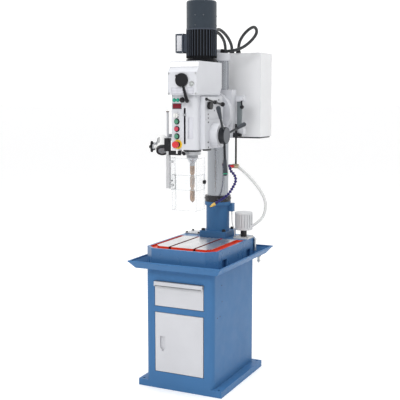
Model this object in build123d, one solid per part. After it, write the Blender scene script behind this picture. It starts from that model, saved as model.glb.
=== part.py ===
from build123d import *
import math
import os

os.makedirs("parts", exist_ok=True)

# Geared drill press on a cabinet stand, in millimetres, +Z up, operator at -Y.
# The origin is on the floor, at the centre of the stand's four bolt holes.

# Fits
RUN = 0.05
SLIP = 0.5
BACKLASH = 0.5

# Upright axes, all in the plane X = 0
COLUMN_Y = 200
SPINDLE_Y = -120
MOTOR_Y = -10

# Levels from the floor up
CABINET_TOP = 636
TABLE_TOP = 741
HEAD_BOTTOM = 1242
GEARBOX_BOTTOM = 1517
GEARBOX_TOP = 1684
COLUMN_TOP = 1701

# Stand
PLINTH_W = 476
PLINTH_D = 554
PLINTH_H = 35
PLINTH_WALL = 5
FLOOR_BOLT_X = 432
FLOOR_BOLT_Y = 518
FLOOR_HOLE_R = 7
FLOOR_PAD = 64
CABINET_W = 385
CABINET_D = 541
CABINET_ROUND = 26
SHEET = 2.5
OPENING_W = 280
DRAWER_OPENING = (438, 572)
DOOR_OPENING = (90, 408)
PANEL_GAP = 2.5
SHELF_Z = 423
LEDGE_Z = 446
LEDGE_IN = 118
DRAWER_W = 250
DRAWER_D = 430
DRAWER_H = 100
LIP_REACH = 14
LIP_H = 24
DOOR_FLANGE = 12
DOOR_PIN_R = 4
DOOR_PIN_IN = 12
DOOR_PIN_BACK = 8
HINGE_SHELF_D = 24
PULL_X = -95
PULL_Z = 240
PULL_W = 30
PULL_H = 80
PULL_DEPTH = 10

# Drip tray
TRAY_W = 520
TRAY_D = 723
TRAY_Y = 17
TRAY_RIM = 673
TRAY_FLARE = 30
TRAY_WALL = 3
TRAY_BEAD_R = 4

# Base table
TABLE_W = 406
TABLE_FRONT = -289
TABLE_BACK = 302
TABLE_CORNER = 52
TABLE_WALL = 18
TABLE_SKIN = 41
SLOT_X = 70
SLOT_W = 14
SLOT_NECK = 12
SLOT_FOOT_W = 24
SLOT_FOOT_H = 11
SLOT_DROP = 28
WORK_RISE = 5
WORK_BACK = 95
CHANNEL_IN = 13
CHANNEL_W = 34
CHANNEL_BACK = 120
CHANNEL_DEPTH = 9
DRAIN_X = 110
DRAIN_R = 5
TANK_FRONT = 100
TANK_FLOOR = 655
TANK_ROOF = 716
FILL_HOLE = 50
FILL_X = -158
FILL_Y = 220
NOTCH_FRONT_Y = -166
NOTCH_BACK_Y = 153
NOTCH_W = 58
NOTCH_H = 50
NOTCH_DEPTH = 15

# Column, its foot and its rack
COLUMN_R = 57.5
COLUMN_BORE_R = 49
FOOT_FLANGE = 158
FOOT_FLANGE_H = 35
FOOT_R = 64
FOOT_RING_R = 72
FOOT_RING_H = 20
FOOT_TOP = 937
FOOT_FLOOR = 10
HOUSING_TOP = 927
HOUSING_H = 45
HOUSING_W = 30
RING_H = 33
CAP_R = 68
CAP_H = 40
CAP_PLUG = 20
CAP_ENTRY_Z = 1752
CAP_ENTRY_HALF = 18
RACK_W = 22
RACK_T = 14
RACK_MODULE = 3
LIFT_TEETH = 14

# Coolant pump
PUMP_X = 156
PUMP_Y = 200
PUMP_R = 48
PUMP_BOTTOM = 788
PUMP_TOP = 885
PUMP_FLANGE = 90
PUMP_FLANGE_H = 7
PUMP_NECK_R = 17
PUMP_DIP = 675
PUMP_RIBS = 20
RIB_CUT = 4
HOSE_R = 8
HOSE_BORE_R = 6
LEAD_R = 2.5
BARB_LEN = 28

# Column sleeve
SLEEVE_R = 83
SLEEVE_BOTTOM = 1290
SLEEVE_TOP = 1546
TILT_Z = 1420
TILT_FLANGE_R = 119
TILT_FACE_Y = 105
TILT_FLANGE_T = 22
SLEEVE_W = 224
SLEEVE_ROUND = 14
SPIGOT_R = 30
SPIGOT_LEN = 13
LIFT_Z = 1480
LIFT_SHAFT_R = 10
LIFT_SHAFT_LEFT = -132
LIFT_BOSS_R = 20
LIFT_BOSS_LEFT = -75
CRANK_ARM = 110
CRANK_GRIP_LEN = 86
CRANK_GRIP_R = 11
LOBE_HALF = 32
BOX_PAD_X = (-30, 60)
BOX_PAD_Z = (1330, 1430)
EAR_X = 160
EAR_FRONT = 178
EAR_BACK = 212
EAR_H = 32
UPPER_EAR_Z = 1499
LOWER_EAR_Z = 1325
SLIT = 3
CLAMP_X = 149
CLAMP_STUD_R = 6
CLAMP_ARM = 45
CLAMP_BALL_R = 11

# Electrical box
BOX_LEFT = -45
BOX_RIGHT = 199
BOX_FRONT = 325
BOX_BACK = 495
BOX_BOTTOM = 1288
BOX_TOP = 1749
BOX_WALL = 2.5
LID_T = 3
CONDUIT_R = 8.5

# Coolant rod and its fittings
ROD_X = 124
ROD_Y = 160
ROD_R = 5
ROD_TOP = 1364
VALVE_Z = 1137
VALVE_R = 12
VALVE_LEFT = 104
VALVE_RIGHT = 140
TAP_X = 112
TAP_R = 4
TAP_REACH = 15
CLAMP_BLOCK_Z = (1292, 1316)
JOINT_R = 8.5
JOINT_CORE_R = 6
JOINT_COUNT = 16
NOZZLE_LEN = 33
NOZZLE_SHANK = 16
NOZZLE_TIP_R = 3

# Head
HEAD_W = 144
HEAD_FRONT = -212
HEAD_BACK = 92
HEAD_ROUND_LEFT = 5
HEAD_ROUND_RIGHT = 22
HEAD_WALL = 12
HEAD_FLOOR = 20
PAD_X = 98
PAD_Y = (-175, 40)
PAD_Z = (1246, 1508)
QUILL_TUBE_R = 50
QUILL_TUBE_TOP = 1470
DEPTH_SLOT_X = 3
DEPTH_SLOT_W = 10
DEPTH_SLOT_Z = (1272, 1452)

# Gearbox
GEARBOX_W = 162
GEARBOX_FRONT = -234
GEARBOX_BACK = 66
GEARBOX_WALL = 12
GEARBOX_PLATE = 10
BROW_Z = 1630
BROW_STEP = 22
BACK_SLOPE = 28
BACK_SLOPE_TOP = 1556
BEARING_H = 12
BOSS_EXTRA = 8

# Motor
MOTOR_FRAME_R = 74
MOTOR_FIN_R = 80
MOTOR_FINS = 32
MOTOR_FIN_T = 3
MOTOR_FLANGE_R = 80
MOTOR_FLANGE_H = 16
MOTOR_TOP = 1856
FAN_COVER_R = 78
FAN_COVER_TOP = 1997
FAN_COVER_WALL = 2.5
ROTOR_R = 45
AIR_GAP = 0.6
MOTOR_SHAFT_R = 12
MOTOR_BEARING_R = 26
TERMINAL_X = (-137, -92)
TERMINAL_Y = (-40, 20)
TERMINAL_Z = (1734, 1834)
TERMINAL_NECK_IN = 6
GLAND_R = 11
GLAND_LEN = 22

# Drive gears
GEAR_MODULE = 2
MOTOR_TEETH = 24
MIDDLE_GEAR_TEETH = 32
MIDDLE_PINION_TEETH = 20
SPINDLE_TEETH = 36
FAST_GEARS_Z = (1605, 1630)
SLOW_GEARS_Z = (1555, 1580)
MIDDLE_SHAFT_R = 9
MIDDLE_BEARING_R = 20
DRIVE_SLEEVE_R = 20
DRIVE_BEARING_R = 33
SPLINE_CORE_R = 11
SPLINE_R = 13
SPLINE_KEYS = 6
SPLINE_KEY_W = 5

# Quill, spindle and drill
QUILL_R = 37.5
QUILL_BORE_R = 26
QUILL_TOP = 1462
QUILL_COLLAR_R = 43
QUILL_GROOVE = 2
QUILL_COLLAR_Z = (1212, 1232)
QUILL_STROKE = 120
QUILL_BEARING_H = 20
SPINDLE_R = 17.5
SPINDLE_NOSE_Z = 1155
NOSE_TOP_R = 30
NOSE_TIP_R = 13
NOSE_STRAIGHT = 14
SPINDLE_TOP = 1670
SOCKET_R = 10
SOCKET_DEPTH = 60
DRILL_R = 12.5
DRILL_TIP_Z = 965
DRILL_POINT = 8
DRILL_TWIST = 480
DRILL_START = 17
FLUTE_OUT = 14.4
FLUTE_R = 11.2
POINTER_Z = 1418
POINTER_PIN_R = 3

# Hand feed
FEED_Z = 1312
FEED_MODULE = 2
FEED_TEETH = 20
FEED_RACK_IN = 33
FEED_SHAFT_R = 12
FEED_BOSS_R = 61
FEED_BOSS_X = 140
FEED_HUB_R = 43
FEED_HUB_X = 171
FEED_ROD_R = 6
FEED_REACH = 199
FEED_GRIP_LEN = 72
FEED_GRIP_R = (8, 12)
FEED_TILT = 8.6
FEED_FIRST = 45

# Controls
DIAL_Z = 1590
DIAL_R = 34
DIAL_T = 10
DIAL_SHAFT_R = 14
DIAL_TAB = 40
DIAL_TAB_ANGLE = 55
LEVER_R = (5, 9)
LEVER_BALL_R = 10.5
SPEED_ARM = 108
SPEED_ANGLE = 17.5
RANGE_X = 1
RANGE_Z = 1492
RANGE_BALL_R = 14
RANGE_STEM_R = 5
RANGE_REACH = 24
BUTTON_X = -41
BUTTON_Z = (1384, 1347, 1310)
BUTTON_R = 11
BUTTON_STEM_R = 8
BUTTON_TRAVEL = 3
STOP_X = -36
STOP_Z = 1269
STOP_R = 17
STOP_REACH = 38
STOP_CAP_T = 16
SWITCH_Z = 1415
SWITCH_R = 12
SELECTOR_Y = -140
SELECTOR_Z = 1464
SELECTOR_R = 20
KNOB_T = 14
KNOB_GAP = 6
KNOB_STEM_R = 6
KNOB_STEM_IN = 13
FEED_LEVER_Y = -80
FEED_LEVER_Z = 1480
FEED_LEVER_FRONT = (-104, 16)
FEED_LEVER_BACK = (92, -11)
FEED_LEVER_BALLS = (8, 12)
FEED_LEVER_BAR_R = 4
FEED_LEVER_BOSS_R = 10
LOCK_X = -38
LOCK_Y = -182
LOCK_STUD_R = 5
LOCK_STUD_IN = 14
LOCK_BOSS_H = 14
LOCK_BALL_R = 9
LOCK_REACH = (23, -3, -21)

# Guard and lamp
POST_X = -100
POST_Y = -200
POST_R = 5.5
POST_TOP = 1431
POST_BRACKET_Z = (1303, 1319)
POST_BRACKET_T = 12
POST_BRACKET_REACH = 50
GUARD_BLOCK_Z = (1234, 1299)
GUARD_BAR_BOTTOM = 1042
GUARD_BAR_X = -97
GUARD_BAR_W = 20
GUARD_HOOK_X = (-49, -37)
GUARD_BORE_Z = 1246
GUARD_BLOCK_HALF = 12
SHIELD_LEFT = -70
SHIELD_RIGHT = 75
SHIELD_FRONT = -225
SHIELD_RIGHT_BACK = -125
SHIELD_LEFT_BACK = -180
SHIELD_T = 3
UPPER_SHIELD_Z = (1040, 1200)
LOWER_SHIELD_Z = (935, 1115)
LAMP_X = -156
LAMP_Y = -154
LAMP_Z = 1251
LAMP_R = 31
LAMP_TAIL_R = 27
LAMP_BEZEL_R = 33
LAMP_FRONT = 30
LAMP_TAIL = 52
LAMP_AIM = (0.36, -0.63, -0.69)
LAMP_PIN_R = 5
LAMP_PLATE_T = 5
LAMP_PLATE_GAP = 1.5
LAMP_ARM_Y = -64
LAMP_ARM_Z = 1288

# Levels and places that follow from the sizes above
cabinet_front = -PLINTH_D / 2
cabinet_side = CABINET_W / 2 - SHEET
feed_pitch_r = FEED_MODULE * FEED_TEETH / 2
feed_y = SPINDLE_Y + FEED_RACK_IN + feed_pitch_r
lift_pitch_r = RACK_MODULE * LIFT_TEETH / 2
rack_inner = COLUMN_Y + COLUMN_R + 2 * RUN
lift_y = rack_inner + RACK_T - RACK_MODULE + lift_pitch_r
middle_reach = GEAR_MODULE * (MOTOR_TEETH + MIDDLE_GEAR_TEETH) / 2
middle_y = (MOTOR_Y + SPINDLE_Y) / 2
middle_x = math.sqrt(middle_reach ** 2 - (MOTOR_Y - middle_y) ** 2)
gear_floor = GEARBOX_BOTTOM + GEARBOX_PLATE
gear_roof = GEARBOX_TOP - GEARBOX_PLATE
sleeve_face = TILT_FACE_Y + SLIP

# Routes of the hoses, the lead and the conduits
pump_top_face = TABLE_TOP + PUMP_FLANGE_H
lead_route = [(78, 216, HOUSING_TOP - HOUSING_H), (78, 216, 850), (90, 192, 814), (116, 170, 780),
              (116, 170, pump_top_face)]
hose_route = [(216, 206, 818), (240, 219, 835), (264, 232, 872), (270, 238, 926), (258, 230, 978),
              (226, 204, 1036), (188, 180, 1088), (150, 162, 1124)]
joint_route = [(91, ROD_Y, 1127), (91, ROD_Y, 1113), (106, ROD_Y, 1100), (120, ROD_Y, 1083), (126, 158, 1062),
               (122, 151, 1040), (111, 142, 1016), (98, 130, 990), (78, 116, 968), (50, 100, 948),
               (34, 90, 936)]
loop_route = [(CAP_ENTRY_HALF, COLUMN_Y, CAP_ENTRY_Z), (74, COLUMN_Y, CAP_ENTRY_Z), (132, 214, 1766),
              (178, 234, 1804), (206, 254, 1850), (184, 270, 1886), (140, 288, 1872), (96, 308, 1840),
              (62, 332, 1798), (62, 332, BOX_TOP)]
conduit_a = [(39, 67, 1838), (41, 91, 1854), (34, 130, 1866), (36, 188, 1853), (34, 250, 1830),
             (27, 304, 1806), (20, 340, 1782), (20, 340, BOX_TOP)]
conduit_b = [(8, 76, 1822), (12, 101, 1839), (16, 150, 1851), (14, 204, 1838), (3, 266, 1817),
             (-9, 308, 1799), (-18, 336, 1777), (-18, 336, BOX_TOP)]

FOOT = (Align.CENTER, Align.CENTER, Align.MIN)
pieces = {}


# Shapes used again and again

def block(x, y, z):
    """A box between two values on each axis."""
    middle = Pos((x[0] + x[1]) / 2, (y[0] + y[1]) / 2, (z[0] + z[1]) / 2)
    return middle * Box(x[1] - x[0], y[1] - y[0], z[1] - z[0])


def rod(start, end, radius):
    """A round bar between two points."""
    a = Vector(*start)
    b = Vector(*end)
    return Plane(origin=a, z_dir=b - a) * Cylinder(radius, (b - a).length, align=FOOT)


def taper(start, end, start_r, end_r):
    """A round bar whose radius changes between two points."""
    a = Vector(*start)
    b = Vector(*end)
    return Plane(origin=a, z_dir=b - a) * Cone(start_r, end_r, (b - a).length, align=FOOT)


def upright(radius, z, x=0, y=0):
    return rod((x, y, z[0]), (x, y, z[1]), radius)


def along_x(radius, x, y, z):
    return rod((x[0], y, z), (x[1], y, z), radius)


def along_y(radius, y, x, z):
    return rod((x, y[0], z), (x, y[1], z), radius)


def ball(radius, x, y, z):
    return Pos(x, y, z) * Sphere(radius)


def roll(angle):
    return math.tan(angle) - angle


def gear_outline(teeth, module, first_deg):
    """Involute teeth, one of them centred on the given angle."""
    pitch = module * teeth / 2
    base = pitch * math.cos(math.radians(20))
    root = pitch - 1.25 * module
    tip = pitch + 0.95 * module
    half = (math.pi * module - BACKLASH) / (4 * pitch)
    steps = [root, max(base, root), pitch, (pitch + tip) / 2, tip]
    points = []
    for tooth in range(teeth):
        centre = math.radians(first_deg) + 2 * math.pi * tooth / teeth
        flank = []
        for r in steps:
            press = math.acos(min(1, base / r))
            flank.append((r, half + roll(math.radians(20)) - roll(press)))
        for r, a in flank:
            points.append((r * math.cos(centre - a), r * math.sin(centre - a)))
        for r, a in reversed(flank):
            points.append((r * math.cos(centre + a), r * math.sin(centre + a)))
    return Polygon(*points, align=None)


def rack_edge(module, pitch_line, outward, z_first, count):
    """Points down the toothed edge of a rack in (y, z), starting with a gap centred on z_first."""
    pitch = math.pi * module
    slope = math.tan(math.radians(20))
    half = (pitch - BACKLASH) / 4
    tip = pitch_line + outward * 0.95 * module
    root = pitch_line - outward * 1.25 * module
    root_half = half + 1.25 * module * slope
    tip_half = half - 0.95 * module * slope
    edge = []
    for n in range(count):
        centre = z_first + pitch * (n + 0.5)
        edge.append((root, centre - root_half))
        edge.append((tip, centre - tip_half))
        edge.append((tip, centre + tip_half))
        edge.append((root, centre + root_half))
    return edge


def stub(route, length, radius):
    """A short bar that ends square on the first point of a route."""
    first = Vector(*route[0])
    way = (Vector(*route[1]) - first).normalized()
    return rod(tuple(first - way * length), route[0], radius)


def tube_path(points):
    """Straight runs joined by tangent arcs."""
    corners = [Vector(*p) for p in points]
    radii = []
    for before, here, after in zip(corners, corners[1:], corners[2:]):
        turn = math.radians((here - before).get_angle(after - here))
        run = min((here - before).length, (after - here).length)
        radii.append(0.45 * run / math.tan(turn / 2))
    return FilletPolyline(*corners, radius=radii), radii


def tube(name, points, radius, bore_r=0):
    """A round tube along a route, with its bends and volume printed."""
    path, radii = tube_path(points)
    section = Circle(radius)
    if bore_r:
        section -= Circle(bore_r)
    solid = sweep(Plane(origin=path @ 0, z_dir=path % 0) * section, path)
    area = math.pi * (radius ** 2 - bore_r ** 2)
    print(name, "smallest bend", round(min(radii)), "length", round(path.length),
          "volume share", round(solid.volume / (area * path.length), 4))
    return solid


# Cabinet stand: plinth with corner pads for the floor bolts, and shell, are one weldment
stand = block((-PLINTH_W / 2, PLINTH_W / 2), (-PLINTH_D / 2, PLINTH_D / 2), (0, PLINTH_H))
stand -= block((PLINTH_WALL - PLINTH_W / 2, PLINTH_W / 2 - PLINTH_WALL),
               (PLINTH_WALL - PLINTH_D / 2, PLINTH_D / 2 - PLINTH_WALL), (0, PLINTH_H - PLINTH_WALL))
for sx in (-1, 1):
    for sy in (-1, 1):
        pad_x = sorted((sx * PLINTH_W / 2, sx * (PLINTH_W / 2 - FLOOR_PAD)))
        pad_y = sorted((sy * PLINTH_D / 2, sy * (PLINTH_D / 2 - FLOOR_PAD)))
        stand += block(pad_x, pad_y, (0, PLINTH_H - PLINTH_WALL))
        stand -= upright(FLOOR_HOLE_R, (0, PLINTH_H), sx * FLOOR_BOLT_X / 2, sy * FLOOR_BOLT_Y / 2)
cabinet_mid = Pos(0, cabinet_front + CABINET_D / 2, PLINTH_H)
shell_h = CABINET_TOP - PLINTH_H
shell = cabinet_mid * extrude(RectangleRounded(CABINET_W, CABINET_D, CABINET_ROUND), shell_h)
inside = RectangleRounded(CABINET_W - 2 * SHEET, CABINET_D - 2 * SHEET, CABINET_ROUND - SHEET)
shell -= cabinet_mid * extrude(inside, shell_h - SHEET)
through_front = (cabinet_front - 1, cabinet_front + SHEET + 1)
for opening in (DRAWER_OPENING, DOOR_OPENING):
    shell -= block((-OPENING_W / 2, OPENING_W / 2), through_front, opening)
inner_front = cabinet_front + SHEET
inner_back = cabinet_front + CABINET_D - SHEET
shell += block((-cabinet_side, cabinet_side), (inner_front + CABINET_ROUND, inner_back - CABINET_ROUND),
               (SHELF_Z - SHEET / 2, SHELF_Z + SHEET / 2))
shell += block((-OPENING_W / 2, OPENING_W / 2), (inner_front, inner_front + CABINET_ROUND),
               (SHELF_Z - SHEET / 2, SHELF_Z + SHEET / 2))
for side in (-1, 1):
    span = sorted((side * LEDGE_IN, side * cabinet_side))
    shell += block(span, (inner_front + CABINET_ROUND, inner_front + DRAWER_D), (LEDGE_Z - SHEET, LEDGE_Z))
door_pin_x = OPENING_W / 2 - DOOR_PIN_IN
door_pin_y = cabinet_front + DOOR_PIN_BACK
sill = (DOOR_OPENING[0] - 6, DOOR_OPENING[0] - 6 + SHEET)
shell += block((door_pin_x - 20, OPENING_W / 2), (inner_front, inner_front + HINGE_SHELF_D), sill)
for level in (sill, (SHELF_Z - SHEET / 2, SHELF_Z + SHEET / 2)):
    shell -= upright(DOOR_PIN_R + RUN, (level[0] - 1, level[1] + 1), door_pin_x, door_pin_y)
pieces["cabinet_stand"] = stand + shell

# Drawer: tray and front with a folded grip lip
front_w = OPENING_W - 2 * PANEL_GAP
front_z = (DRAWER_OPENING[0] + PANEL_GAP, DRAWER_OPENING[1] - PANEL_GAP)
drawer = block((-front_w / 2, front_w / 2), (cabinet_front, inner_front), front_z)
lip_front = cabinet_front - LIP_REACH
drawer += block((-front_w / 2, front_w / 2), (lip_front, cabinet_front), (front_z[1] - SHEET, front_z[1]))
drawer += block((-front_w / 2, front_w / 2), (lip_front, lip_front + SHEET), (front_z[1] - LIP_H, front_z[1]))
tray_bottom = LEDGE_Z + SLIP
drawer += block((-DRAWER_W / 2, DRAWER_W / 2), (inner_front, inner_front + DRAWER_D),
                (tray_bottom, tray_bottom + DRAWER_H))
drawer -= block((SHEET - DRAWER_W / 2, DRAWER_W / 2 - SHEET),
                (inner_front + SHEET, inner_front + DRAWER_D - SHEET),
                (tray_bottom + SHEET, tray_bottom + DRAWER_H))
pieces["drawer"] = drawer

# Cabinet door: folded panel on two pins near its right edge, with a recessed finger pull
door_x = (PANEL_GAP - OPENING_W / 2, OPENING_W / 2 - PANEL_GAP - 1)
door_z = (DOOR_OPENING[0] + PANEL_GAP, DOOR_OPENING[1] - PANEL_GAP)
door = block(door_x, (cabinet_front, cabinet_front + DOOR_FLANGE + SHEET), door_z)
door -= block((door_x[0] + SHEET, door_x[1] - SHEET), (inner_front, cabinet_front + DOOR_FLANGE + SHEET),
              (door_z[0] + SHEET, door_z[1] - SHEET))


def pull_outline(grow):
    """A shield shape, flat above and pointed below, seen from the front."""
    half = PULL_W / 2 + grow
    up = PULL_H / 2 + grow
    points = [(PULL_X - half, PULL_Z + up), (PULL_X - half, PULL_Z - up / 2), (PULL_X, PULL_Z - up),
              (PULL_X + half, PULL_Z - up / 2), (PULL_X + half, PULL_Z + up)]
    return Plane.XZ * Polygon(*points, align=None)


door += Pos(0, inner_front, 0) * extrude(pull_outline(SHEET), -PULL_DEPTH)
door -= Pos(0, cabinet_front, 0) * extrude(pull_outline(0), -PULL_DEPTH)
door += upright(DOOR_PIN_R, (door_z[1] - SHEET, SHELF_Z + SHEET / 2), door_pin_x, door_pin_y)
door += upright(DOOR_PIN_R, (sill[0], door_z[0] + SHEET), door_pin_x, door_pin_y)
pieces["cabinet_door"] = door

# Drip tray: flared pan with a rolled rim
tray_h = TRAY_RIM - CABINET_TOP
tray_lean = math.degrees(math.atan(TRAY_FLARE / tray_h))
floor_w = TRAY_W - 2 * TRAY_FLARE
floor_d = TRAY_D - 2 * TRAY_FLARE
tray = extrude(Rectangle(floor_w, floor_d), tray_h, taper=-tray_lean)
tray -= Pos(0, 0, TRAY_WALL) * extrude(Rectangle(floor_w - TRAY_WALL, floor_d - TRAY_WALL), tray_h,
                                       taper=-tray_lean)
for sx in (-1, 1):
    edge_x = sx * (TRAY_W / 2 - TRAY_BEAD_R)
    tray += rod((edge_x, -TRAY_D / 2, tray_h), (edge_x, TRAY_D / 2, tray_h), TRAY_BEAD_R)
for sy in (-1, 1):
    edge_y = sy * (TRAY_D / 2 - TRAY_BEAD_R)
    tray += rod((-TRAY_W / 2, edge_y, tray_h), (TRAY_W / 2, edge_y, tray_h), TRAY_BEAD_R)
pieces["drip_tray"] = Pos(0, TRAY_Y, CABINET_TOP) * tray


# Base table: cast, with a raised work area, T-slots, a coolant channel and the coolant tank at the back

def table_outline(inset, back, back_corner=0):
    """The table's outline drawn in by the inset, with bevelled front corners."""
    half = TABLE_W / 2 - inset
    bevel = TABLE_CORNER - inset * (2 - math.sqrt(2))
    front = TABLE_FRONT + inset
    points = [(-half, front + bevel), (bevel - half, front), (half - bevel, front), (half, front + bevel)]
    if back_corner:
        points += [(half, back - back_corner), (half - back_corner, back), (back_corner - half, back),
                   (-half, back - back_corner)]
    else:
        points += [(half, back), (-half, back)]
    return Polygon(*points, align=None)


table_foot = CABINET_TOP + TRAY_WALL
work_top = TABLE_TOP + WORK_RISE
channel_floor = TABLE_TOP - CHANNEL_DEPTH
table_inner = TABLE_W / 2 - TABLE_WALL
table = Pos(0, 0, table_foot) * extrude(table_outline(0, TABLE_BACK, TABLE_CORNER), TABLE_TOP - table_foot)
table -= block((-table_inner, table_inner), (TABLE_FRONT + TABLE_CORNER, TANK_FRONT - TABLE_WALL),
               (table_foot, TABLE_TOP - TABLE_SKIN))
table -= Pos(0, 0, channel_floor) * extrude(table_outline(CHANNEL_IN, CHANNEL_BACK), CHANNEL_DEPTH)
table += Pos(0, 0, channel_floor) * extrude(table_outline(CHANNEL_IN + CHANNEL_W, WORK_BACK),
                                            work_top - channel_floor)
work_front = TABLE_FRONT + CHANNEL_IN + CHANNEL_W
slot_ends = (work_front - SLOT_DROP, WORK_BACK + SLOT_DROP / 2)
table -= block((-table_inner, table_inner), (TANK_FRONT, TABLE_BACK - TABLE_CORNER), (TANK_FLOOR, TANK_ROOF))
for sx in (-1, 1):
    slot_mid = sx * SLOT_X
    neck_z = work_top - SLOT_NECK
    table -= block((slot_mid - SLOT_W / 2, slot_mid + SLOT_W / 2), slot_ends, (neck_z, work_top))
    table -= block((slot_mid - SLOT_FOOT_W / 2, slot_mid + SLOT_FOOT_W / 2), slot_ends,
                   (neck_z - SLOT_FOOT_H, neck_z))
    table -= upright(DRAIN_R, (TANK_ROOF, channel_floor), sx * DRAIN_X, (WORK_BACK + CHANNEL_BACK) / 2)
    for notch_y in (NOTCH_FRONT_Y, NOTCH_BACK_Y):
        notch_x = sorted((sx * TABLE_W / 2, sx * (TABLE_W / 2 - NOTCH_DEPTH)))
        table -= block(notch_x, (notch_y - NOTCH_W / 2, notch_y + NOTCH_W / 2),
                       (table_foot, table_foot + NOTCH_H))
table -= upright(PUMP_NECK_R + 8, (TANK_ROOF, TABLE_TOP), PUMP_X, PUMP_Y)
table -= block((FILL_X - FILL_HOLE / 2, FILL_X + FILL_HOLE / 2),
               (FILL_Y - FILL_HOLE / 2, FILL_Y + FILL_HOLE / 2), (TANK_ROOF, TABLE_TOP))
pieces["base_table"] = table

# Column foot with its small terminal housing
foot = Pos(0, COLUMN_Y, TABLE_TOP) * extrude(RectangleRounded(FOOT_FLANGE, FOOT_FLANGE, 12), FOOT_FLANGE_H)
foot += upright(FOOT_R, (TABLE_TOP, FOOT_TOP), 0, COLUMN_Y)
foot += upright(FOOT_RING_R, (FOOT_TOP - FOOT_RING_H, FOOT_TOP), 0, COLUMN_Y)
housing_x = (FOOT_R - 6, FOOT_R - 6 + HOUSING_W)
foot += block(housing_x, (COLUMN_Y, COLUMN_Y + HOUSING_W), (HOUSING_TOP - HOUSING_H, HOUSING_TOP))
foot -= upright(COLUMN_R + RUN, (TABLE_TOP + FOOT_FLOOR, FOOT_TOP), 0, COLUMN_Y)
pieces["column_foot"] = foot

# Column tube, rack and the ring that holds the rack's lower end
column_bottom = TABLE_TOP + FOOT_FLOOR
pieces["column_tube"] = (upright(COLUMN_R, (column_bottom, COLUMN_TOP), 0, COLUMN_Y)
                         - upright(COLUMN_BORE_R, (column_bottom, COLUMN_TOP), 0, COLUMN_Y))
rack_pitch = math.pi * RACK_MODULE
rack_line = rack_inner + RACK_T - RACK_MODULE
teeth_below = math.floor((LIFT_Z - FOOT_TOP - RING_H) / rack_pitch) - 1
teeth_above = math.floor((COLUMN_TOP - LIFT_Z) / rack_pitch) - 1
rack_points = [(rack_inner, FOOT_TOP)]
rack_points += [(rack_inner + RACK_T, FOOT_TOP), (rack_inner + RACK_T, FOOT_TOP + RING_H)]
first_gap = LIFT_Z - teeth_below * rack_pitch
rack_points += rack_edge(RACK_MODULE, rack_line, 1, first_gap, teeth_below + teeth_above)
rack_points += [(rack_line - 1.25 * RACK_MODULE, COLUMN_TOP), (rack_inner, COLUMN_TOP)]
rack = extrude(Plane.YZ * Polygon(*rack_points, align=None), RACK_W / 2, both=True)
pieces["column_rack"] = rack
ring = upright(FOOT_RING_R - 1, (FOOT_TOP, FOOT_TOP + RING_H), 0, COLUMN_Y)
ring -= upright(COLUMN_R + RUN, (FOOT_TOP, FOOT_TOP + RING_H), 0, COLUMN_Y)
ring -= block((-RACK_W / 2 - RUN, RACK_W / 2 + RUN), (COLUMN_Y, COLUMN_Y + FOOT_RING_R),
              (FOOT_TOP, FOOT_TOP + RING_H))
pieces["rack_ring"] = ring

# Column cap with the cable entry on top
cap = upright(CAP_R, (COLUMN_TOP, COLUMN_TOP + CAP_H), 0, COLUMN_Y)
cap = fillet(cap.edges().group_by(Axis.Z)[-1], 4)
cap += upright(COLUMN_BORE_R - RUN, (COLUMN_TOP - CAP_PLUG, COLUMN_TOP), 0, COLUMN_Y)
cap += block((-CAP_ENTRY_HALF, CAP_ENTRY_HALF), (COLUMN_Y - 12, COLUMN_Y + 12),
             (COLUMN_TOP + CAP_H - 1, CAP_ENTRY_Z + 11))
pieces["column_cap"] = cap

# Coolant pump: flange, neck, ribbed motor, dip tube and outlet
pump = Pos(PUMP_X, PUMP_Y, TABLE_TOP) * extrude(RectangleRounded(PUMP_FLANGE, PUMP_FLANGE, 8), PUMP_FLANGE_H)
pump += upright(PUMP_NECK_R, (PUMP_DIP, PUMP_BOTTOM), PUMP_X, PUMP_Y)
pump_motor = upright(PUMP_R, (PUMP_BOTTOM, PUMP_TOP), PUMP_X, PUMP_Y)
pump_motor = fillet(pump_motor.edges().group_by(Axis.Z)[-1], 6)
for n in range(PUMP_RIBS):
    cut = Rot(0, 0, 360 * (n + 0.5) / PUMP_RIBS) * Box(2 * RIB_CUT, RIB_CUT, PUMP_TOP - PUMP_BOTTOM - 24)
    turn = math.radians(360 * (n + 0.5) / PUMP_RIBS)
    pump_motor -= Pos(PUMP_X + PUMP_R * math.cos(turn), PUMP_Y + PUMP_R * math.sin(turn),
                      (PUMP_BOTTOM + PUMP_TOP) / 2) * cut
pump += pump_motor
pump += stub(hose_route, BARB_LEN, HOSE_R)
pieces["coolant_pump"] = pump

# Thin lead from the terminal housing down to the pump flange
pieces["pump_lead"] = tube("pump_lead", lead_route, LEAD_R)

# Column sleeve: bore, tilt flange, clamp ears, lift gear lobe and mounting pads
bore_z = (SLEEVE_BOTTOM, SLEEVE_TOP)
sleeve = upright(SLEEVE_R, bore_z, 0, COLUMN_Y)
sleeve_side = SLEEVE_W / 2
shoulder = block((-sleeve_side, sleeve_side), (sleeve_face + TILT_FLANGE_T, COLUMN_Y - SLIT / 2), bore_z)
sleeve += fillet(shoulder.edges().filter_by(Axis.Z).group_by(Axis.Y)[-1], SLEEVE_ROUND)
sleeve += along_y(TILT_FLANGE_R, (sleeve_face, sleeve_face + TILT_FLANGE_T), 0, TILT_Z)
for ear_z in (UPPER_EAR_Z, LOWER_EAR_Z):
    sleeve += block((0, EAR_X), (EAR_FRONT, EAR_BACK), (ear_z - EAR_H / 2, ear_z + EAR_H / 2))
lobe_y = lift_y + LIFT_BOSS_R + 12
sleeve += block((-LOBE_HALF, LOBE_HALF), (COLUMN_Y, lobe_y), (LIFT_Z - LOBE_HALF - 1, LIFT_Z + LOBE_HALF + 1))
sleeve += along_x(LIFT_BOSS_R, (LIFT_BOSS_LEFT, 0), lift_y, LIFT_Z)
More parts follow.
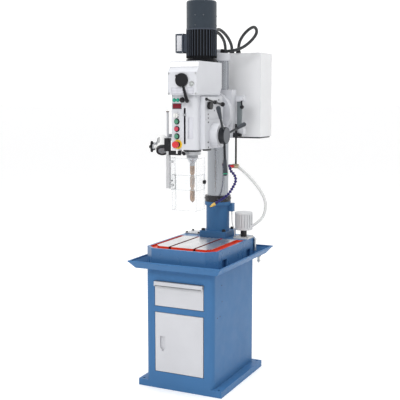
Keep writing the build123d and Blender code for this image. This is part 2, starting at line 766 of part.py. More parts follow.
sleeve += block(BOX_PAD_X, (COLUMN_Y, BOX_FRONT), BOX_PAD_Z)
sleeve -= upright(COLUMN_R + RUN, bore_z, 0, COLUMN_Y)
rack_groove = (RACK_W / 2 + 1, rack_inner + RACK_T + 1)
sleeve -= block((-rack_groove[0], rack_groove[0]), (COLUMN_Y, rack_groove[1]), bore_z)
sleeve -= block((0, EAR_X), (COLUMN_Y - SLIT / 2, COLUMN_Y + SLIT / 2), bore_z)
pinion_half = RACK_W / 2 + 1
sleeve -= along_x(lift_pitch_r + RACK_MODULE + 2, (-pinion_half - 1, pinion_half + 1), lift_y, LIFT_Z)
sleeve -= along_x(LIFT_SHAFT_R + RUN, (LIFT_BOSS_LEFT, LOBE_HALF), lift_y, LIFT_Z)
sleeve -= along_y(SPIGOT_R + RUN, (sleeve_face, sleeve_face + SPIGOT_LEN + 2), 0, TILT_Z)
sleeve -= along_y(CLAMP_STUD_R + RUN, (EAR_FRONT, EAR_BACK), CLAMP_X, UPPER_EAR_Z)
pieces["column_sleeve"] = sleeve

# Clamp lever: stud through the upper ear, short arm hanging down, ball end
lever_y = EAR_FRONT - SLIP
lever = along_y(CLAMP_STUD_R, (lever_y - 14, EAR_BACK - 4), CLAMP_X, UPPER_EAR_Z)
lever += along_y(CLAMP_STUD_R + 5, (lever_y - 14, lever_y), CLAMP_X, UPPER_EAR_Z)
ball_place = (CLAMP_X + 4, lever_y - 7, UPPER_EAR_Z - CLAMP_ARM)
lever += rod((CLAMP_X, lever_y - 7, UPPER_EAR_Z), ball_place, CLAMP_STUD_R - 2)
lever += ball(CLAMP_BALL_R, *ball_place)
pieces["clamp_lever"] = lever

# Lift pinion and its crank, behind the column and out to the left
lift_teeth = extrude(gear_outline(LIFT_TEETH, RACK_MODULE, -90), RACK_W)
lift_gear = Pos(-RACK_W / 2, lift_y, LIFT_Z) * Rot(0, 90, 0) * lift_teeth
pieces["lift_pinion"] = lift_gear + along_x(LIFT_SHAFT_R, (LIFT_SHAFT_LEFT, LOBE_HALF - 2), lift_y, LIFT_Z)
crank_in = LIFT_SHAFT_LEFT + 24
crank = along_x(LIFT_SHAFT_R + 7, (LIFT_SHAFT_LEFT, crank_in), lift_y, LIFT_Z)
arm_x = (LIFT_SHAFT_LEFT + 4, LIFT_SHAFT_LEFT + 14)
crank += block(arm_x, (lift_y - CRANK_GRIP_R, lift_y + CRANK_GRIP_R),
               (LIFT_Z - CRANK_ARM - CRANK_GRIP_R, LIFT_Z))
crank += along_x(CRANK_GRIP_R, (arm_x[0] - CRANK_GRIP_LEN, arm_x[0]), lift_y, LIFT_Z - CRANK_ARM)
crank -= along_x(LIFT_SHAFT_R + RUN, (LIFT_SHAFT_LEFT, crank_in), lift_y, LIFT_Z)
pieces["lift_crank"] = crank

# Electrical box on the back of the sleeve, with its lid at the rear
box_x = (BOX_LEFT, BOX_RIGHT)
box_z = (BOX_BOTTOM, BOX_TOP)
enclosure = block(box_x, (BOX_FRONT, BOX_BACK - LID_T), box_z)
enclosure -= block((BOX_LEFT + BOX_WALL, BOX_RIGHT - BOX_WALL), (BOX_FRONT + BOX_WALL, BOX_BACK),
                   (BOX_BOTTOM + BOX_WALL, BOX_TOP - BOX_WALL))
pieces["electrical_box"] = enclosure
lid = block(box_x, (BOX_BACK - LID_T, BOX_BACK), box_z)
lid_in = BOX_WALL + SLIP
rim = block((BOX_LEFT + lid_in, BOX_RIGHT - lid_in), (BOX_BACK - LID_T - 10, BOX_BACK - LID_T),
            (BOX_BOTTOM + lid_in, BOX_TOP - lid_in))
rim -= block((BOX_LEFT + lid_in + BOX_WALL, BOX_RIGHT - lid_in - BOX_WALL),
             (BOX_BACK - LID_T - 10, BOX_BACK - LID_T),
             (BOX_BOTTOM + lid_in + BOX_WALL, BOX_TOP - lid_in - BOX_WALL))
pieces["electrical_lid"] = lid + rim

# Coolant clamp, rod, valve and valve handle
holder = block((sleeve_side, ROD_X + 14), (ROD_Y - 13, ROD_Y + 13), CLAMP_BLOCK_Z)
holder -= upright(ROD_R + RUN, CLAMP_BLOCK_Z, ROD_X, ROD_Y)
pieces["coolant_clamp"] = holder
rod_foot = VALVE_Z + VALVE_R
pieces["coolant_rod"] = upright(ROD_R, (rod_foot, ROD_TOP), ROD_X, ROD_Y)
valve = along_x(VALVE_R, (VALVE_LEFT, VALVE_RIGHT), ROD_Y, VALVE_Z)
valve += upright(ROD_R + 4, (VALVE_Z, rod_foot), ROD_X, ROD_Y)
valve += stub(hose_route[::-1], BARB_LEN - 8, HOSE_R)
valve += along_x(JOINT_R, (joint_route[0][0] - JOINT_R, VALVE_LEFT), ROD_Y, VALVE_Z)
valve += upright(JOINT_R, (joint_route[0][2], VALVE_Z), joint_route[0][0], ROD_Y)
tap_front = ROD_Y - VALVE_R - SLIP
valve -= along_y(TAP_R + RUN, (ROD_Y - VALVE_R, ROD_Y), TAP_X, VALVE_Z)
pieces["coolant_valve"] = valve
tap = along_y(TAP_R, (tap_front - 8, ROD_Y - 2), TAP_X, VALVE_Z)
tap += along_y(2 * TAP_R, (tap_front - 8, tap_front), TAP_X, VALVE_Z)
tap += rod((TAP_X, tap_front - 4, VALVE_Z), (TAP_X - TAP_REACH, tap_front - 6, VALVE_Z + 2), TAP_R)
pieces["valve_handle"] = tap

# Clear coolant hose from the pump to the valve
pieces["coolant_hose"] = tube("coolant_hose", hose_route, HOSE_R, HOSE_BORE_R)

# Jointed nozzle hose: a core with ball joints in a row, and the nozzle at its end
joint_path = tube_path(joint_route)[0]
jointed = tube("jointed_hose", joint_route, JOINT_CORE_R)
joint_pitch = joint_path.length / JOINT_COUNT
for n in range(JOINT_COUNT):
    spot = (n + 0.5) / JOINT_COUNT
    place = Plane(origin=joint_path @ spot, z_dir=joint_path % spot)
    jointed += place * Cylinder(JOINT_R, 0.55 * joint_pitch)
pieces["jointed_hose"] = jointed
nozzle_way = joint_path % 1
nozzle_root = Vector(*joint_route[-1])
nozzle_mid = nozzle_root + nozzle_way * NOZZLE_SHANK
nozzle_end = nozzle_root + nozzle_way * NOZZLE_LEN
nozzle = rod(tuple(nozzle_root), tuple(nozzle_mid), JOINT_R)
nozzle += taper(tuple(nozzle_mid), tuple(nozzle_end), JOINT_R, NOZZLE_TIP_R)
pieces["coolant_nozzle"] = nozzle

# Looped conduit from the column cap to the electrical box
pieces["conduit_loop"] = tube("conduit_loop", loop_route, CONDUIT_R)

# Two conduits from glands on the back of the motor to the electrical box
pieces["motor_conduits"] = Compound(children=[tube("conduit_a", conduit_a, CONDUIT_R),
                                              tube("conduit_b", conduit_b, CONDUIT_R)])

# Head casting: walls, quill tube, side pad, feed boss and tilt flange
head_half = HEAD_W / 2
head = block((-head_half, head_half), (HEAD_FRONT, HEAD_BACK), (HEAD_BOTTOM, GEARBOX_BOTTOM))
for end, corner_r in ((0, HEAD_ROUND_LEFT), (-1, HEAD_ROUND_RIGHT)):
    front_edges = head.edges().filter_by(Axis.Z).group_by(Axis.Y)[0].sort_by(Axis.X)
    head = fillet(front_edges[end], corner_r)
inner_x = (HEAD_WALL - head_half, head_half - HEAD_WALL)
room = block(inner_x, (HEAD_FRONT + HEAD_WALL, HEAD_BACK - HEAD_WALL),
             (HEAD_BOTTOM + HEAD_FLOOR, GEARBOX_BOTTOM))
room -= upright(QUILL_TUBE_R, (HEAD_BOTTOM, QUILL_TUBE_TOP), 0, SPINDLE_Y)
head -= room
pad = block((0, PAD_X), PAD_Y, PAD_Z)
pad -= block((-1, head_half - HEAD_WALL / 2), PAD_Y, PAD_Z)
head += pad
head += along_x(FEED_BOSS_R, (head_half - HEAD_WALL / 2, FEED_BOSS_X), feed_y, FEED_Z)
head += along_y(TILT_FLANGE_R, (HEAD_BACK, TILT_FACE_Y), 0, TILT_Z)
head += along_y(SPIGOT_R, (TILT_FACE_Y, TILT_FACE_Y + SPIGOT_LEN), 0, TILT_Z)
head -= upright(QUILL_R + RUN, (HEAD_BOTTOM, QUILL_TUBE_TOP), 0, SPINDLE_Y)
head -= along_x(feed_pitch_r + FEED_MODULE + 2, (-12, 12), feed_y, FEED_Z)
head -= along_x(FEED_SHAFT_R + 1, inner_x, feed_y, FEED_Z)
head -= along_x(FEED_SHAFT_R + RUN, (inner_x[1] - 1, FEED_BOSS_X), feed_y, FEED_Z)
head -= block((DEPTH_SLOT_X - DEPTH_SLOT_W / 2, DEPTH_SLOT_X + DEPTH_SLOT_W / 2),
              (HEAD_FRONT - 1, SPINDLE_Y - QUILL_R + 8), DEPTH_SLOT_Z)
for button_z in BUTTON_Z:
    head -= along_y(BUTTON_STEM_R + RUN, (HEAD_FRONT, HEAD_FRONT + HEAD_WALL), BUTTON_X, button_z)
head -= along_y(BUTTON_STEM_R + RUN, (HEAD_FRONT, HEAD_FRONT + HEAD_WALL), STOP_X, STOP_Z)
head -= along_y(BUTTON_STEM_R + RUN, (HEAD_FRONT, HEAD_FRONT + HEAD_WALL), BUTTON_X, SWITCH_Z)
head -= along_y(RANGE_STEM_R + RUN, (HEAD_FRONT, HEAD_FRONT + HEAD_WALL), RANGE_X, RANGE_Z)
for stem_y, stem_z in ((SELECTOR_Y, SELECTOR_Z), (FEED_LEVER_Y, FEED_LEVER_Z)):
    head -= along_x(KNOB_STEM_R + RUN, (PAD_X - KNOB_STEM_IN - 1, PAD_X), stem_y, stem_z)
head -= upright(LOCK_STUD_R + RUN, (HEAD_BOTTOM, HEAD_BOTTOM + LOCK_STUD_IN + 1), LOCK_X, LOCK_Y)
pieces["head_casting"] = head

# Gearbox case: stepped brow at the front, sloped back, bearing bosses inside
case_half = GEARBOX_W / 2
profile = [(GEARBOX_FRONT, GEARBOX_BOTTOM), (GEARBOX_FRONT, BROW_Z),
           (GEARBOX_FRONT + BROW_STEP, BROW_Z + BROW_STEP), (GEARBOX_FRONT + BROW_STEP + 3, GEARBOX_TOP),
           (GEARBOX_BACK, GEARBOX_TOP), (GEARBOX_BACK, BACK_SLOPE_TOP),
           (GEARBOX_BACK - BACK_SLOPE, GEARBOX_BOTTOM)]
case = extrude(Plane.YZ * Polygon(*profile, align=None), case_half, both=True)
case = fillet(case.edges().filter_by(Axis.X).group_by(Axis.Z)[-1], 4)
hollow = [(GEARBOX_FRONT + GEARBOX_WALL, gear_floor), (GEARBOX_FRONT + GEARBOX_WALL, BROW_Z),
          (GEARBOX_FRONT + GEARBOX_WALL + BROW_STEP, BROW_Z + BROW_STEP),
          (GEARBOX_FRONT + GEARBOX_WALL + BROW_STEP, gear_roof),
          (GEARBOX_BACK - GEARBOX_WALL, gear_roof), (GEARBOX_BACK - GEARBOX_WALL, BACK_SLOPE_TOP),
          (GEARBOX_BACK - BACK_SLOPE - GEARBOX_WALL, gear_floor)]
case -= extrude(Plane.YZ * Polygon(*hollow, align=None), case_half - GEARBOX_WALL, both=True)
seat_low = (gear_floor - 2, gear_floor + BEARING_H + 2)
seat_high = (gear_roof - BEARING_H - 2, gear_roof)
for level in (seat_low, seat_high):
    case += upright(MIDDLE_BEARING_R + BOSS_EXTRA, level, middle_x, middle_y)
    case += upright(DRIVE_BEARING_R + BOSS_EXTRA, level, 0, SPINDLE_Y)
low_ring = (seat_low[1] - BEARING_H, seat_low[1])
high_ring = (seat_high[0], seat_high[0] + BEARING_H)
for level in (low_ring, high_ring):
    case -= upright(MIDDLE_BEARING_R, level, middle_x, middle_y)
    case -= upright(DRIVE_BEARING_R, level, 0, SPINDLE_Y)
case -= upright(DRIVE_SLEEVE_R + 1, (GEARBOX_BOTTOM, low_ring[0]), 0, SPINDLE_Y)
case -= upright(GEAR_MODULE * MOTOR_TEETH / 2 + 6, (gear_roof, GEARBOX_TOP), 0, MOTOR_Y)
case -= along_y(DIAL_SHAFT_R + RUN, (GEARBOX_FRONT, GEARBOX_FRONT + GEARBOX_WALL), 0, DIAL_Z)
pieces["gearbox_case"] = case

# Shaft bearings: rings in the gearbox and in the motor ends
motor_low = (GEARBOX_TOP + 2, GEARBOX_TOP + 2 + BEARING_H)
motor_high = (MOTOR_TOP - 4 - BEARING_H, MOTOR_TOP - 4)
rings = []
for level in (low_ring, high_ring):
    rings.append(upright(MIDDLE_BEARING_R, level, middle_x, middle_y)
                 - upright(MIDDLE_SHAFT_R + RUN, level, middle_x, middle_y))
    rings.append(upright(DRIVE_BEARING_R, level, 0, SPINDLE_Y)
                 - upright(DRIVE_SLEEVE_R + RUN, level, 0, SPINDLE_Y))
for level in (motor_low, motor_high):
    rings.append(upright(MOTOR_BEARING_R, level, 0, MOTOR_Y)
                 - upright(MOTOR_SHAFT_R + RUN, level, 0, MOTOR_Y))
pieces["shaft_bearings"] = Compound(children=rings)

# Motor frame with fins, stator bore, end shields and the terminal box on its left
frame = upright(MOTOR_FRAME_R, (GEARBOX_TOP, MOTOR_TOP), 0, MOTOR_Y)
fin_z = (GEARBOX_TOP + MOTOR_FLANGE_H + 6, MOTOR_TOP - 8)
for n in range(MOTOR_FINS):
    fin = block((MOTOR_FRAME_R - 3, MOTOR_FIN_R), (-MOTOR_FIN_T / 2, MOTOR_FIN_T / 2), fin_z)
    frame += Pos(0, MOTOR_Y, 0) * Rot(0, 0, 360 * n / MOTOR_FINS) * fin
frame += upright(MOTOR_FLANGE_R, (GEARBOX_TOP, GEARBOX_TOP + MOTOR_FLANGE_H), 0, MOTOR_Y)
frame += upright(MOTOR_FIN_R, (MOTOR_TOP - 8, MOTOR_TOP), 0, MOTOR_Y)
frame += fillet(block(TERMINAL_X, TERMINAL_Y, TERMINAL_Z).edges().filter_by(Axis.X), 5)
neck_y = (TERMINAL_Y[0] + TERMINAL_NECK_IN, TERMINAL_Y[1] - TERMINAL_NECK_IN)
neck_z = (TERMINAL_Z[0] + TERMINAL_NECK_IN, TERMINAL_Z[1] - TERMINAL_NECK_IN)
frame += block((TERMINAL_X[1], 5 - MOTOR_FRAME_R), neck_y, neck_z)
rotor_room = (motor_low[1] + 4, motor_high[0] - 4)
frame -= upright(ROTOR_R + AIR_GAP, rotor_room, 0, MOTOR_Y)
frame -= upright(MOTOR_SHAFT_R + 2, (GEARBOX_TOP, MOTOR_TOP), 0, MOTOR_Y)
for level in (motor_low, motor_high):
    frame -= upright(MOTOR_BEARING_R, level, 0, MOTOR_Y)
for route in (conduit_a, conduit_b):
    frame += stub(route, GLAND_LEN, GLAND_R)
pieces["motor_frame"] = frame

# Fan cover over the top of the motor
cover = upright(FAN_COVER_R, (MOTOR_TOP, FAN_COVER_TOP), 0, MOTOR_Y)
cover = fillet(cover.edges().group_by(Axis.Z)[-1], 10)
cover_room = upright(FAN_COVER_R - FAN_COVER_WALL, (MOTOR_TOP, FAN_COVER_TOP - FAN_COVER_WALL), 0, MOTOR_Y)
cover_room = fillet(cover_room.edges().group_by(Axis.Z)[-1], 8)
cover -= cover_room
pieces["fan_cover"] = cover

# Motor rotor: shaft, core, cooling fan and the motor pinion
to_middle = math.degrees(math.atan2(middle_y - MOTOR_Y, middle_x))
fan_z = MOTOR_TOP + 20
rotor = upright(MOTOR_SHAFT_R, (FAST_GEARS_Z[0] - 2, fan_z + 40), 0, MOTOR_Y)
rotor += upright(ROTOR_R, (rotor_room[0] + 4, rotor_room[1] - 4), 0, MOTOR_Y)
rotor += upright(30, (fan_z, fan_z + 6), 0, MOTOR_Y)
for n in range(8):
    blade = block((10, FAN_COVER_R - 14), (-1.5, 1.5), (fan_z, fan_z + 32))
    rotor += Pos(0, MOTOR_Y, 0) * Rot(0, 0, 45 * n) * blade
rotor += Pos(0, MOTOR_Y, FAST_GEARS_Z[0]) * extrude(gear_outline(MOTOR_TEETH, GEAR_MODULE, to_middle),
                                                    FAST_GEARS_Z[1] - FAST_GEARS_Z[0])
pieces["motor_rotor"] = rotor

# Intermediate gear: one shaft with a large gear and a small one
half_gap = 180 / MIDDLE_GEAR_TEETH
middle = upright(MIDDLE_SHAFT_R, (low_ring[0] + 1, high_ring[1] - 1), middle_x, middle_y)
middle += Pos(middle_x, middle_y, FAST_GEARS_Z[0]) * extrude(
    gear_outline(MIDDLE_GEAR_TEETH, GEAR_MODULE, to_middle + 180 + half_gap),
    FAST_GEARS_Z[1] - FAST_GEARS_Z[0])
to_spindle = math.degrees(math.atan2(SPINDLE_Y - middle_y, -middle_x))
middle += Pos(middle_x, middle_y, SLOW_GEARS_Z[0]) * extrude(
    gear_outline(MIDDLE_PINION_TEETH, GEAR_MODULE, to_spindle), SLOW_GEARS_Z[1] - SLOW_GEARS_Z[0])
pieces["intermediate_gear"] = middle


def splined(core_r, key_r, key_w, z):
    """A round core with a ring of straight keys."""
    shape = upright(core_r, z, 0, SPINDLE_Y)
    for n in range(SPLINE_KEYS):
        key = block((0, key_r), (-key_w / 2, key_w / 2), z)
        shape += Pos(0, SPINDLE_Y, 0) * Rot(0, 0, 360 * n / SPLINE_KEYS) * key
    return shape


# Spindle gear: splined sleeve that drives the spindle while it slides
drive_z = (low_ring[0] + 1, high_ring[1] - 1)
half_gap = 180 / SPINDLE_TEETH
drive = upright(DRIVE_SLEEVE_R, drive_z, 0, SPINDLE_Y)
drive += Pos(0, SPINDLE_Y, SLOW_GEARS_Z[0]) * extrude(
    gear_outline(SPINDLE_TEETH, GEAR_MODULE, to_spindle + 180 + half_gap), SLOW_GEARS_Z[1] - SLOW_GEARS_Z[0])
drive -= splined(SPLINE_CORE_R + RUN, SPLINE_R + RUN, SPLINE_KEY_W + 2 * RUN, drive_z)
pieces["spindle_gear"] = drive

# Quill with its rack, bearing seats and a hole for the depth pointer
quill_z = (QUILL_COLLAR_Z[1], QUILL_TOP)
quill = upright(QUILL_R, quill_z, 0, SPINDLE_Y) + upright(QUILL_COLLAR_R, QUILL_COLLAR_Z, 0, SPINDLE_Y)
quill -= upright(SPINDLE_R + 2, (QUILL_COLLAR_Z[0], QUILL_TOP), 0, SPINDLE_Y)
bearing_low = (QUILL_COLLAR_Z[1], QUILL_COLLAR_Z[1] + QUILL_BEARING_H)
bearing_high = (QUILL_TOP - QUILL_BEARING_H, QUILL_TOP)
for level in (bearing_low, bearing_high):
    quill -= upright(QUILL_BORE_R, level, 0, SPINDLE_Y)
groove_z = (QUILL_COLLAR_Z[0] + 8, QUILL_COLLAR_Z[0] + 11)
quill -= upright(QUILL_COLLAR_R, groove_z, 0, SPINDLE_Y) - upright(QUILL_COLLAR_R - QUILL_GROOVE, groove_z, 0,
                                                                   SPINDLE_Y)
feed_pitch = math.pi * FEED_MODULE
feed_line = SPINDLE_Y + FEED_RACK_IN
feed_gaps = math.ceil(QUILL_STROKE / feed_pitch) + 6
first_gap = FEED_Z - 3 * feed_pitch
edge = rack_edge(FEED_MODULE, feed_line, 1, first_gap, feed_gaps)
rack_out = SPINDLE_Y + QUILL_R + 2
comb = [(rack_out, edge[0][1])] + edge + [(rack_out, edge[-1][1])]
quill -= extrude(Plane.YZ * Polygon(*comb, align=None), RACK_W / 2, both=True)
quill -= along_y(POINTER_PIN_R + RUN, (SPINDLE_Y - QUILL_R, SPINDLE_Y - QUILL_R + 9), DEPTH_SLOT_X, POINTER_Z)
pieces["quill"] = quill
pieces["quill_bearings"] = Compound(children=[
    upright(QUILL_BORE_R, level, 0, SPINDLE_Y) - upright(SPINDLE_R + RUN, level, 0, SPINDLE_Y)
    for level in (bearing_low, bearing_high)])

# Depth pointer: pin in the quill and a small plate in front of the head
pointer_front = HEAD_FRONT - 2
pointer = along_y(POINTER_PIN_R, (pointer_front, SPINDLE_Y - QUILL_R + 8), DEPTH_SLOT_X, POINTER_Z)
pointer += block((DEPTH_SLOT_X - 8, DEPTH_SLOT_X + 8), (pointer_front - 4, pointer_front),
                 (POINTER_Z - 5, POINTER_Z + 5))
pieces["depth_pointer"] = pointer

# Spindle: nose with a socket, journal in the quill, spline above
nose_top = QUILL_COLLAR_Z[0] - SLIP
cone_z = (SPINDLE_NOSE_Z + NOSE_STRAIGHT, nose_top - NOSE_STRAIGHT)
spindle = upright(NOSE_TIP_R, (SPINDLE_NOSE_Z, nose_top), 0, SPINDLE_Y)
spindle += taper((0, SPINDLE_Y, cone_z[0]), (0, SPINDLE_Y, cone_z[1]), NOSE_TIP_R, NOSE_TOP_R)
spindle += upright(NOSE_TOP_R, (cone_z[1], nose_top), 0, SPINDLE_Y)
spindle += upright(SPINDLE_R, (cone_z[1], QUILL_TOP + 8), 0, SPINDLE_Y)
spindle += splined(SPLINE_CORE_R, SPLINE_R, SPLINE_KEY_W, (QUILL_TOP, SPINDLE_TOP))
spindle -= upright(SOCKET_R + RUN, (SPINDLE_NOSE_Z, SPINDLE_NOSE_Z + SOCKET_DEPTH), 0, SPINDLE_Y)
pieces["spindle"] = spindle

# Twist drill with two flutes, a ground point and its shank in the socket
flute = Circle(DRILL_R) - Pos(FLUTE_OUT, 0) * Circle(FLUTE_R) - Pos(-FLUTE_OUT, 0) * Circle(FLUTE_R)
flute_top = SPINDLE_NOSE_Z - 6
point_top = DRILL_TIP_Z + DRILL_POINT
flute_rise = (0, 0, flute_top - DRILL_TIP_Z)
twist = Solid.extrude_linear_with_rotation(flute.face(), (0, 0, 0), flute_rise, DRILL_TWIST)
drill = Pos(0, SPINDLE_Y, DRILL_TIP_Z) * Rot(0, 0, DRILL_START) * twist
drill -= (upright(DRILL_R + 1, (DRILL_TIP_Z - 1, point_top), 0, SPINDLE_Y)
          - taper((0, SPINDLE_Y, DRILL_TIP_Z), (0, SPINDLE_Y, point_top), 0.5, DRILL_R))
drill += upright(DRILL_R, (flute_top, SPINDLE_NOSE_Z), 0, SPINDLE_Y)
drill += upright(SOCKET_R, (SPINDLE_NOSE_Z, SPINDLE_NOSE_Z + SOCKET_DEPTH - 4), 0, SPINDLE_Y)
pieces["drill_bit"] = drill

# Feed pinion, hub, rods and grips
feed_gear = Pos(-RACK_W / 2 + 1, feed_y, FEED_Z) * Rot(0, 90, 0) * extrude(
    gear_outline(FEED_TEETH, FEED_MODULE, -90), RACK_W - 2)
feed_end = FEED_HUB_X - 8
pieces["feed_pinion"] = feed_gear + along_x(FEED_SHAFT_R, (inner_x[0] + SLIP, feed_end), feed_y, FEED_Z)
hub = along_x(FEED_HUB_R, (FEED_BOSS_X + SLIP, FEED_HUB_X), feed_y, FEED_Z)
hub = fillet(hub.edges().group_by(Axis.X)[-1], 4)
hub -= along_x(FEED_SHAFT_R + RUN, (FEED_BOSS_X, feed_end), feed_y, FEED_Z)
rods = []
grips = []
hub_mid = (FEED_BOSS_X + FEED_HUB_X) / 2
for n in range(3):
    turn = math.radians(FEED_FIRST + 120 * n)
    lean = math.radians(FEED_TILT)
    way = Vector(math.sin(lean), -math.cos(lean) * math.sin(turn), math.cos(lean) * math.cos(turn))
    centre = Vector(hub_mid, feed_y, FEED_Z)
    root = tuple(centre + way * (FEED_HUB_R - 18))
    grip_start = tuple(centre + way * (FEED_REACH - FEED_GRIP_LEN))
    rod_end = tuple(centre + way * (FEED_REACH - FEED_GRIP_LEN + 30))
    tip = tuple(centre + way * FEED_REACH)
    hub -= rod(root, grip_start, FEED_ROD_R + RUN)
    rods.append(rod(root, rod_end, FEED_ROD_R))
    grip = taper(grip_start, tip, *FEED_GRIP_R)
    grip += ball(FEED_GRIP_R[1], *tip)
    grips.append(grip - rod(grip_start, rod_end, FEED_ROD_R + RUN))
pieces["feed_hub"] = hub
pieces["feed_rods"] = Compound(children=rods)
pieces["feed_grips"] = Compound(children=grips)

# Speed lever: dial with a pointer tab and a tapered arm hanging from it
dial_back = GEARBOX_FRONT - SLIP
dial_front = dial_back - DIAL_T
dial_mid = (dial_back + dial_front) / 2
arm_y = GEARBOX_FRONT - SLIP - LEVER_BALL_R


def hang(angle_deg, reach, y):
    """A point below the dial, swung towards +X by the angle."""
    turn = math.radians(angle_deg)
    return (reach * math.sin(turn), y, DIAL_Z - reach * math.cos(turn))


speed = along_y(DIAL_R, (dial_front, dial_back), 0, DIAL_Z)
speed += along_y(DIAL_SHAFT_R, (dial_back, GEARBOX_FRONT + GEARBOX_WALL + 8), 0, DIAL_Z)
speed += taper(hang(SPEED_ANGLE, DIAL_R - 8, arm_y), hang(SPEED_ANGLE, SPEED_ARM, arm_y), *LEVER_R)
speed += ball(LEVER_BALL_R, *hang(SPEED_ANGLE, SPEED_ARM, arm_y))
speed += Pos(0, dial_mid, DIAL_Z) * Rot(0, -DIAL_TAB_ANGLE, 0) * block((-5, 5), (-DIAL_T / 2, DIAL_T / 2),
                                                                   (DIAL_R - 6, DIAL_TAB))
pieces["speed_lever"] = speed

# Range knob: push-pull ball on a stem below the gearbox
range_y = HEAD_FRONT - RANGE_REACH
knob = along_y(RANGE_STEM_R, (range_y, HEAD_FRONT + HEAD_WALL + 10), RANGE_X, RANGE_Z)
knob += ball(RANGE_BALL_R, RANGE_X, range_y, RANGE_Z)
pieces["range_knob"] = knob

# Push buttons, emergency stop and mode switch on the front of the head
button_back = HEAD_FRONT - BUTTON_TRAVEL - 1
for name, button_z in zip(("start_button", "stop_button", "tap_button"), BUTTON_Z):
    button = along_y(BUTTON_R, (button_back - 6, button_back), BUTTON_X, button_z)
    button += along_y(BUTTON_STEM_R, (button_back, HEAD_FRONT + 8), BUTTON_X, button_z)
    pieces[name] = button
mushroom_front = HEAD_FRONT - STOP_REACH
mushroom = along_y(STOP_R, (mushroom_front, mushroom_front + STOP_CAP_T), STOP_X, STOP_Z)
mushroom = fillet(mushroom.edges().group_by(Axis.Y)[0], 6)
mushroom += along_y(BUTTON_STEM_R, (mushroom_front + STOP_CAP_T, HEAD_FRONT + 7), STOP_X, STOP_Z)
pieces["emergency_stop"] = mushroom
switch = along_y(SWITCH_R, (HEAD_FRONT - 18, HEAD_FRONT - SLIP), BUTTON_X, SWITCH_Z)
switch += along_y(BUTTON_STEM_R, (HEAD_FRONT - SLIP, HEAD_FRONT + 8), BUTTON_X, SWITCH_Z)
switch += block((BUTTON_X - 3, BUTTON_X + 3), (HEAD_FRONT - 24, HEAD_FRONT - 18),
                (SWITCH_Z - SWITCH_R + 1, SWITCH_Z + SWITCH_R - 1))
pieces["mode_switch"] = switch

# Feed selector knob and feed lever on the side pad
knob_x = (PAD_X + KNOB_GAP, PAD_X + KNOB_GAP + KNOB_T)
stem_x = (PAD_X - KNOB_STEM_IN, knob_x[0])
selector = along_x(SELECTOR_R, knob_x, SELECTOR_Y, SELECTOR_Z)
selector += along_x(KNOB_STEM_R, stem_x, SELECTOR_Y, SELECTOR_Z)
pieces["feed_selector"] = selector
bar_x = sum(knob_x) / 2
engage = along_x(FEED_LEVER_BOSS_R, knob_x, FEED_LEVER_Y, FEED_LEVER_Z)
engage += along_x(KNOB_STEM_R, stem_x, FEED_LEVER_Y, FEED_LEVER_Z)
for reach, ball_r in zip((FEED_LEVER_FRONT, FEED_LEVER_BACK), FEED_LEVER_BALLS):
    bar_end = (bar_x, FEED_LEVER_Y + reach[0], FEED_LEVER_Z + reach[1])
    engage += rod((bar_x, FEED_LEVER_Y, FEED_LEVER_Z), bar_end, FEED_LEVER_BAR_R)
    engage += ball(ball_r, *bar_end)
pieces["feed_lever"] = engage

# Quill lock under the head
lock_top = HEAD_BOTTOM - SLIP
lock_boss = (lock_top - LOCK_BOSS_H, lock_top)
lock = upright(LOCK_STUD_R, (lock_boss[0], HEAD_BOTTOM + LOCK_STUD_IN), LOCK_X, LOCK_Y)
lock += upright(LOCK_STUD_R + 4, lock_boss, LOCK_X, LOCK_Y)
lock_ball = (LOCK_X + LOCK_REACH[0], LOCK_Y + LOCK_REACH[1], lock_top + LOCK_REACH[2])
lock += rod((LOCK_X, LOCK_Y, lock_top - 9), lock_ball, LOCK_STUD_R - 1)
lock += ball(LOCK_BALL_R, *lock_ball)
pieces["quill_lock"] = lock

# Guard post on a bracket at the left of the head
post = upright(POST_R, (GUARD_BORE_Z + SLIP, POST_TOP), POST_X, POST_Y)
half_bracket = POST_BRACKET_T / 2
bracket_back = POST_Y + POST_BRACKET_REACH
post += block((POST_X - half_bracket, POST_X + half_bracket), (POST_Y, bracket_back), POST_BRACKET_Z)
post += block((POST_X - half_bracket, -head_half), (bracket_back - POST_BRACKET_T, bracket_back),
              POST_BRACKET_Z)
pieces["guard_post"] = post

# Guard arm: block that turns on the post, hook, hanging bar and the tabs that hold the shield
half_block = GUARD_BLOCK_HALF
arm = block((POST_X - half_block - 2, POST_X + half_block), (POST_Y - half_block, POST_Y + half_block),
            GUARD_BLOCK_Z)
bar_left = GUARD_BAR_X - GUARD_BAR_W / 2
bar_right = GUARD_BAR_X + GUARD_BAR_W / 2
arm += block((bar_left, bar_right), (POST_Y - 6, POST_Y + 6), (GUARD_BAR_BOTTOM, GUARD_BLOCK_Z[0] + 4))
hook_z = (GUARD_BLOCK_Z[0] - 20, GUARD_BLOCK_Z[0] + 3)
hook = block((POST_X, -20), (POST_Y - 14, POST_Y - 6), hook_z)
arm += hook - block(GUARD_HOOK_X, (POST_Y - 14, POST_Y - 6), (hook_z[0] + 7, hook_z[1]))
for tab_z in (UPPER_SHIELD_Z[1] - 20, UPPER_SHIELD_Z[0] + 20):
    arm += block((bar_right, SHIELD_LEFT), (POST_Y - 5, POST_Y + 5), (tab_z - 7, tab_z + 7))
arm -= upright(POST_R + RUN, (GUARD_BORE_Z, GUARD_BLOCK_Z[1]), POST_X, POST_Y)
pieces["guard_arm"] = arm


def shield(inset, z):
    """A folded sheet with a front and two sides, drawn in by the inset."""
    left = SHIELD_LEFT + inset
    right = SHIELD_RIGHT - inset
    front = SHIELD_FRONT + inset
    sheet = block((left, right), (front, front + SHIELD_T), z)
    sheet += block((right - SHIELD_T, right), (front, SHIELD_RIGHT_BACK), z)
    sheet += block((left, left + SHIELD_T), (front, SHIELD_LEFT_BACK), z)
    return sheet


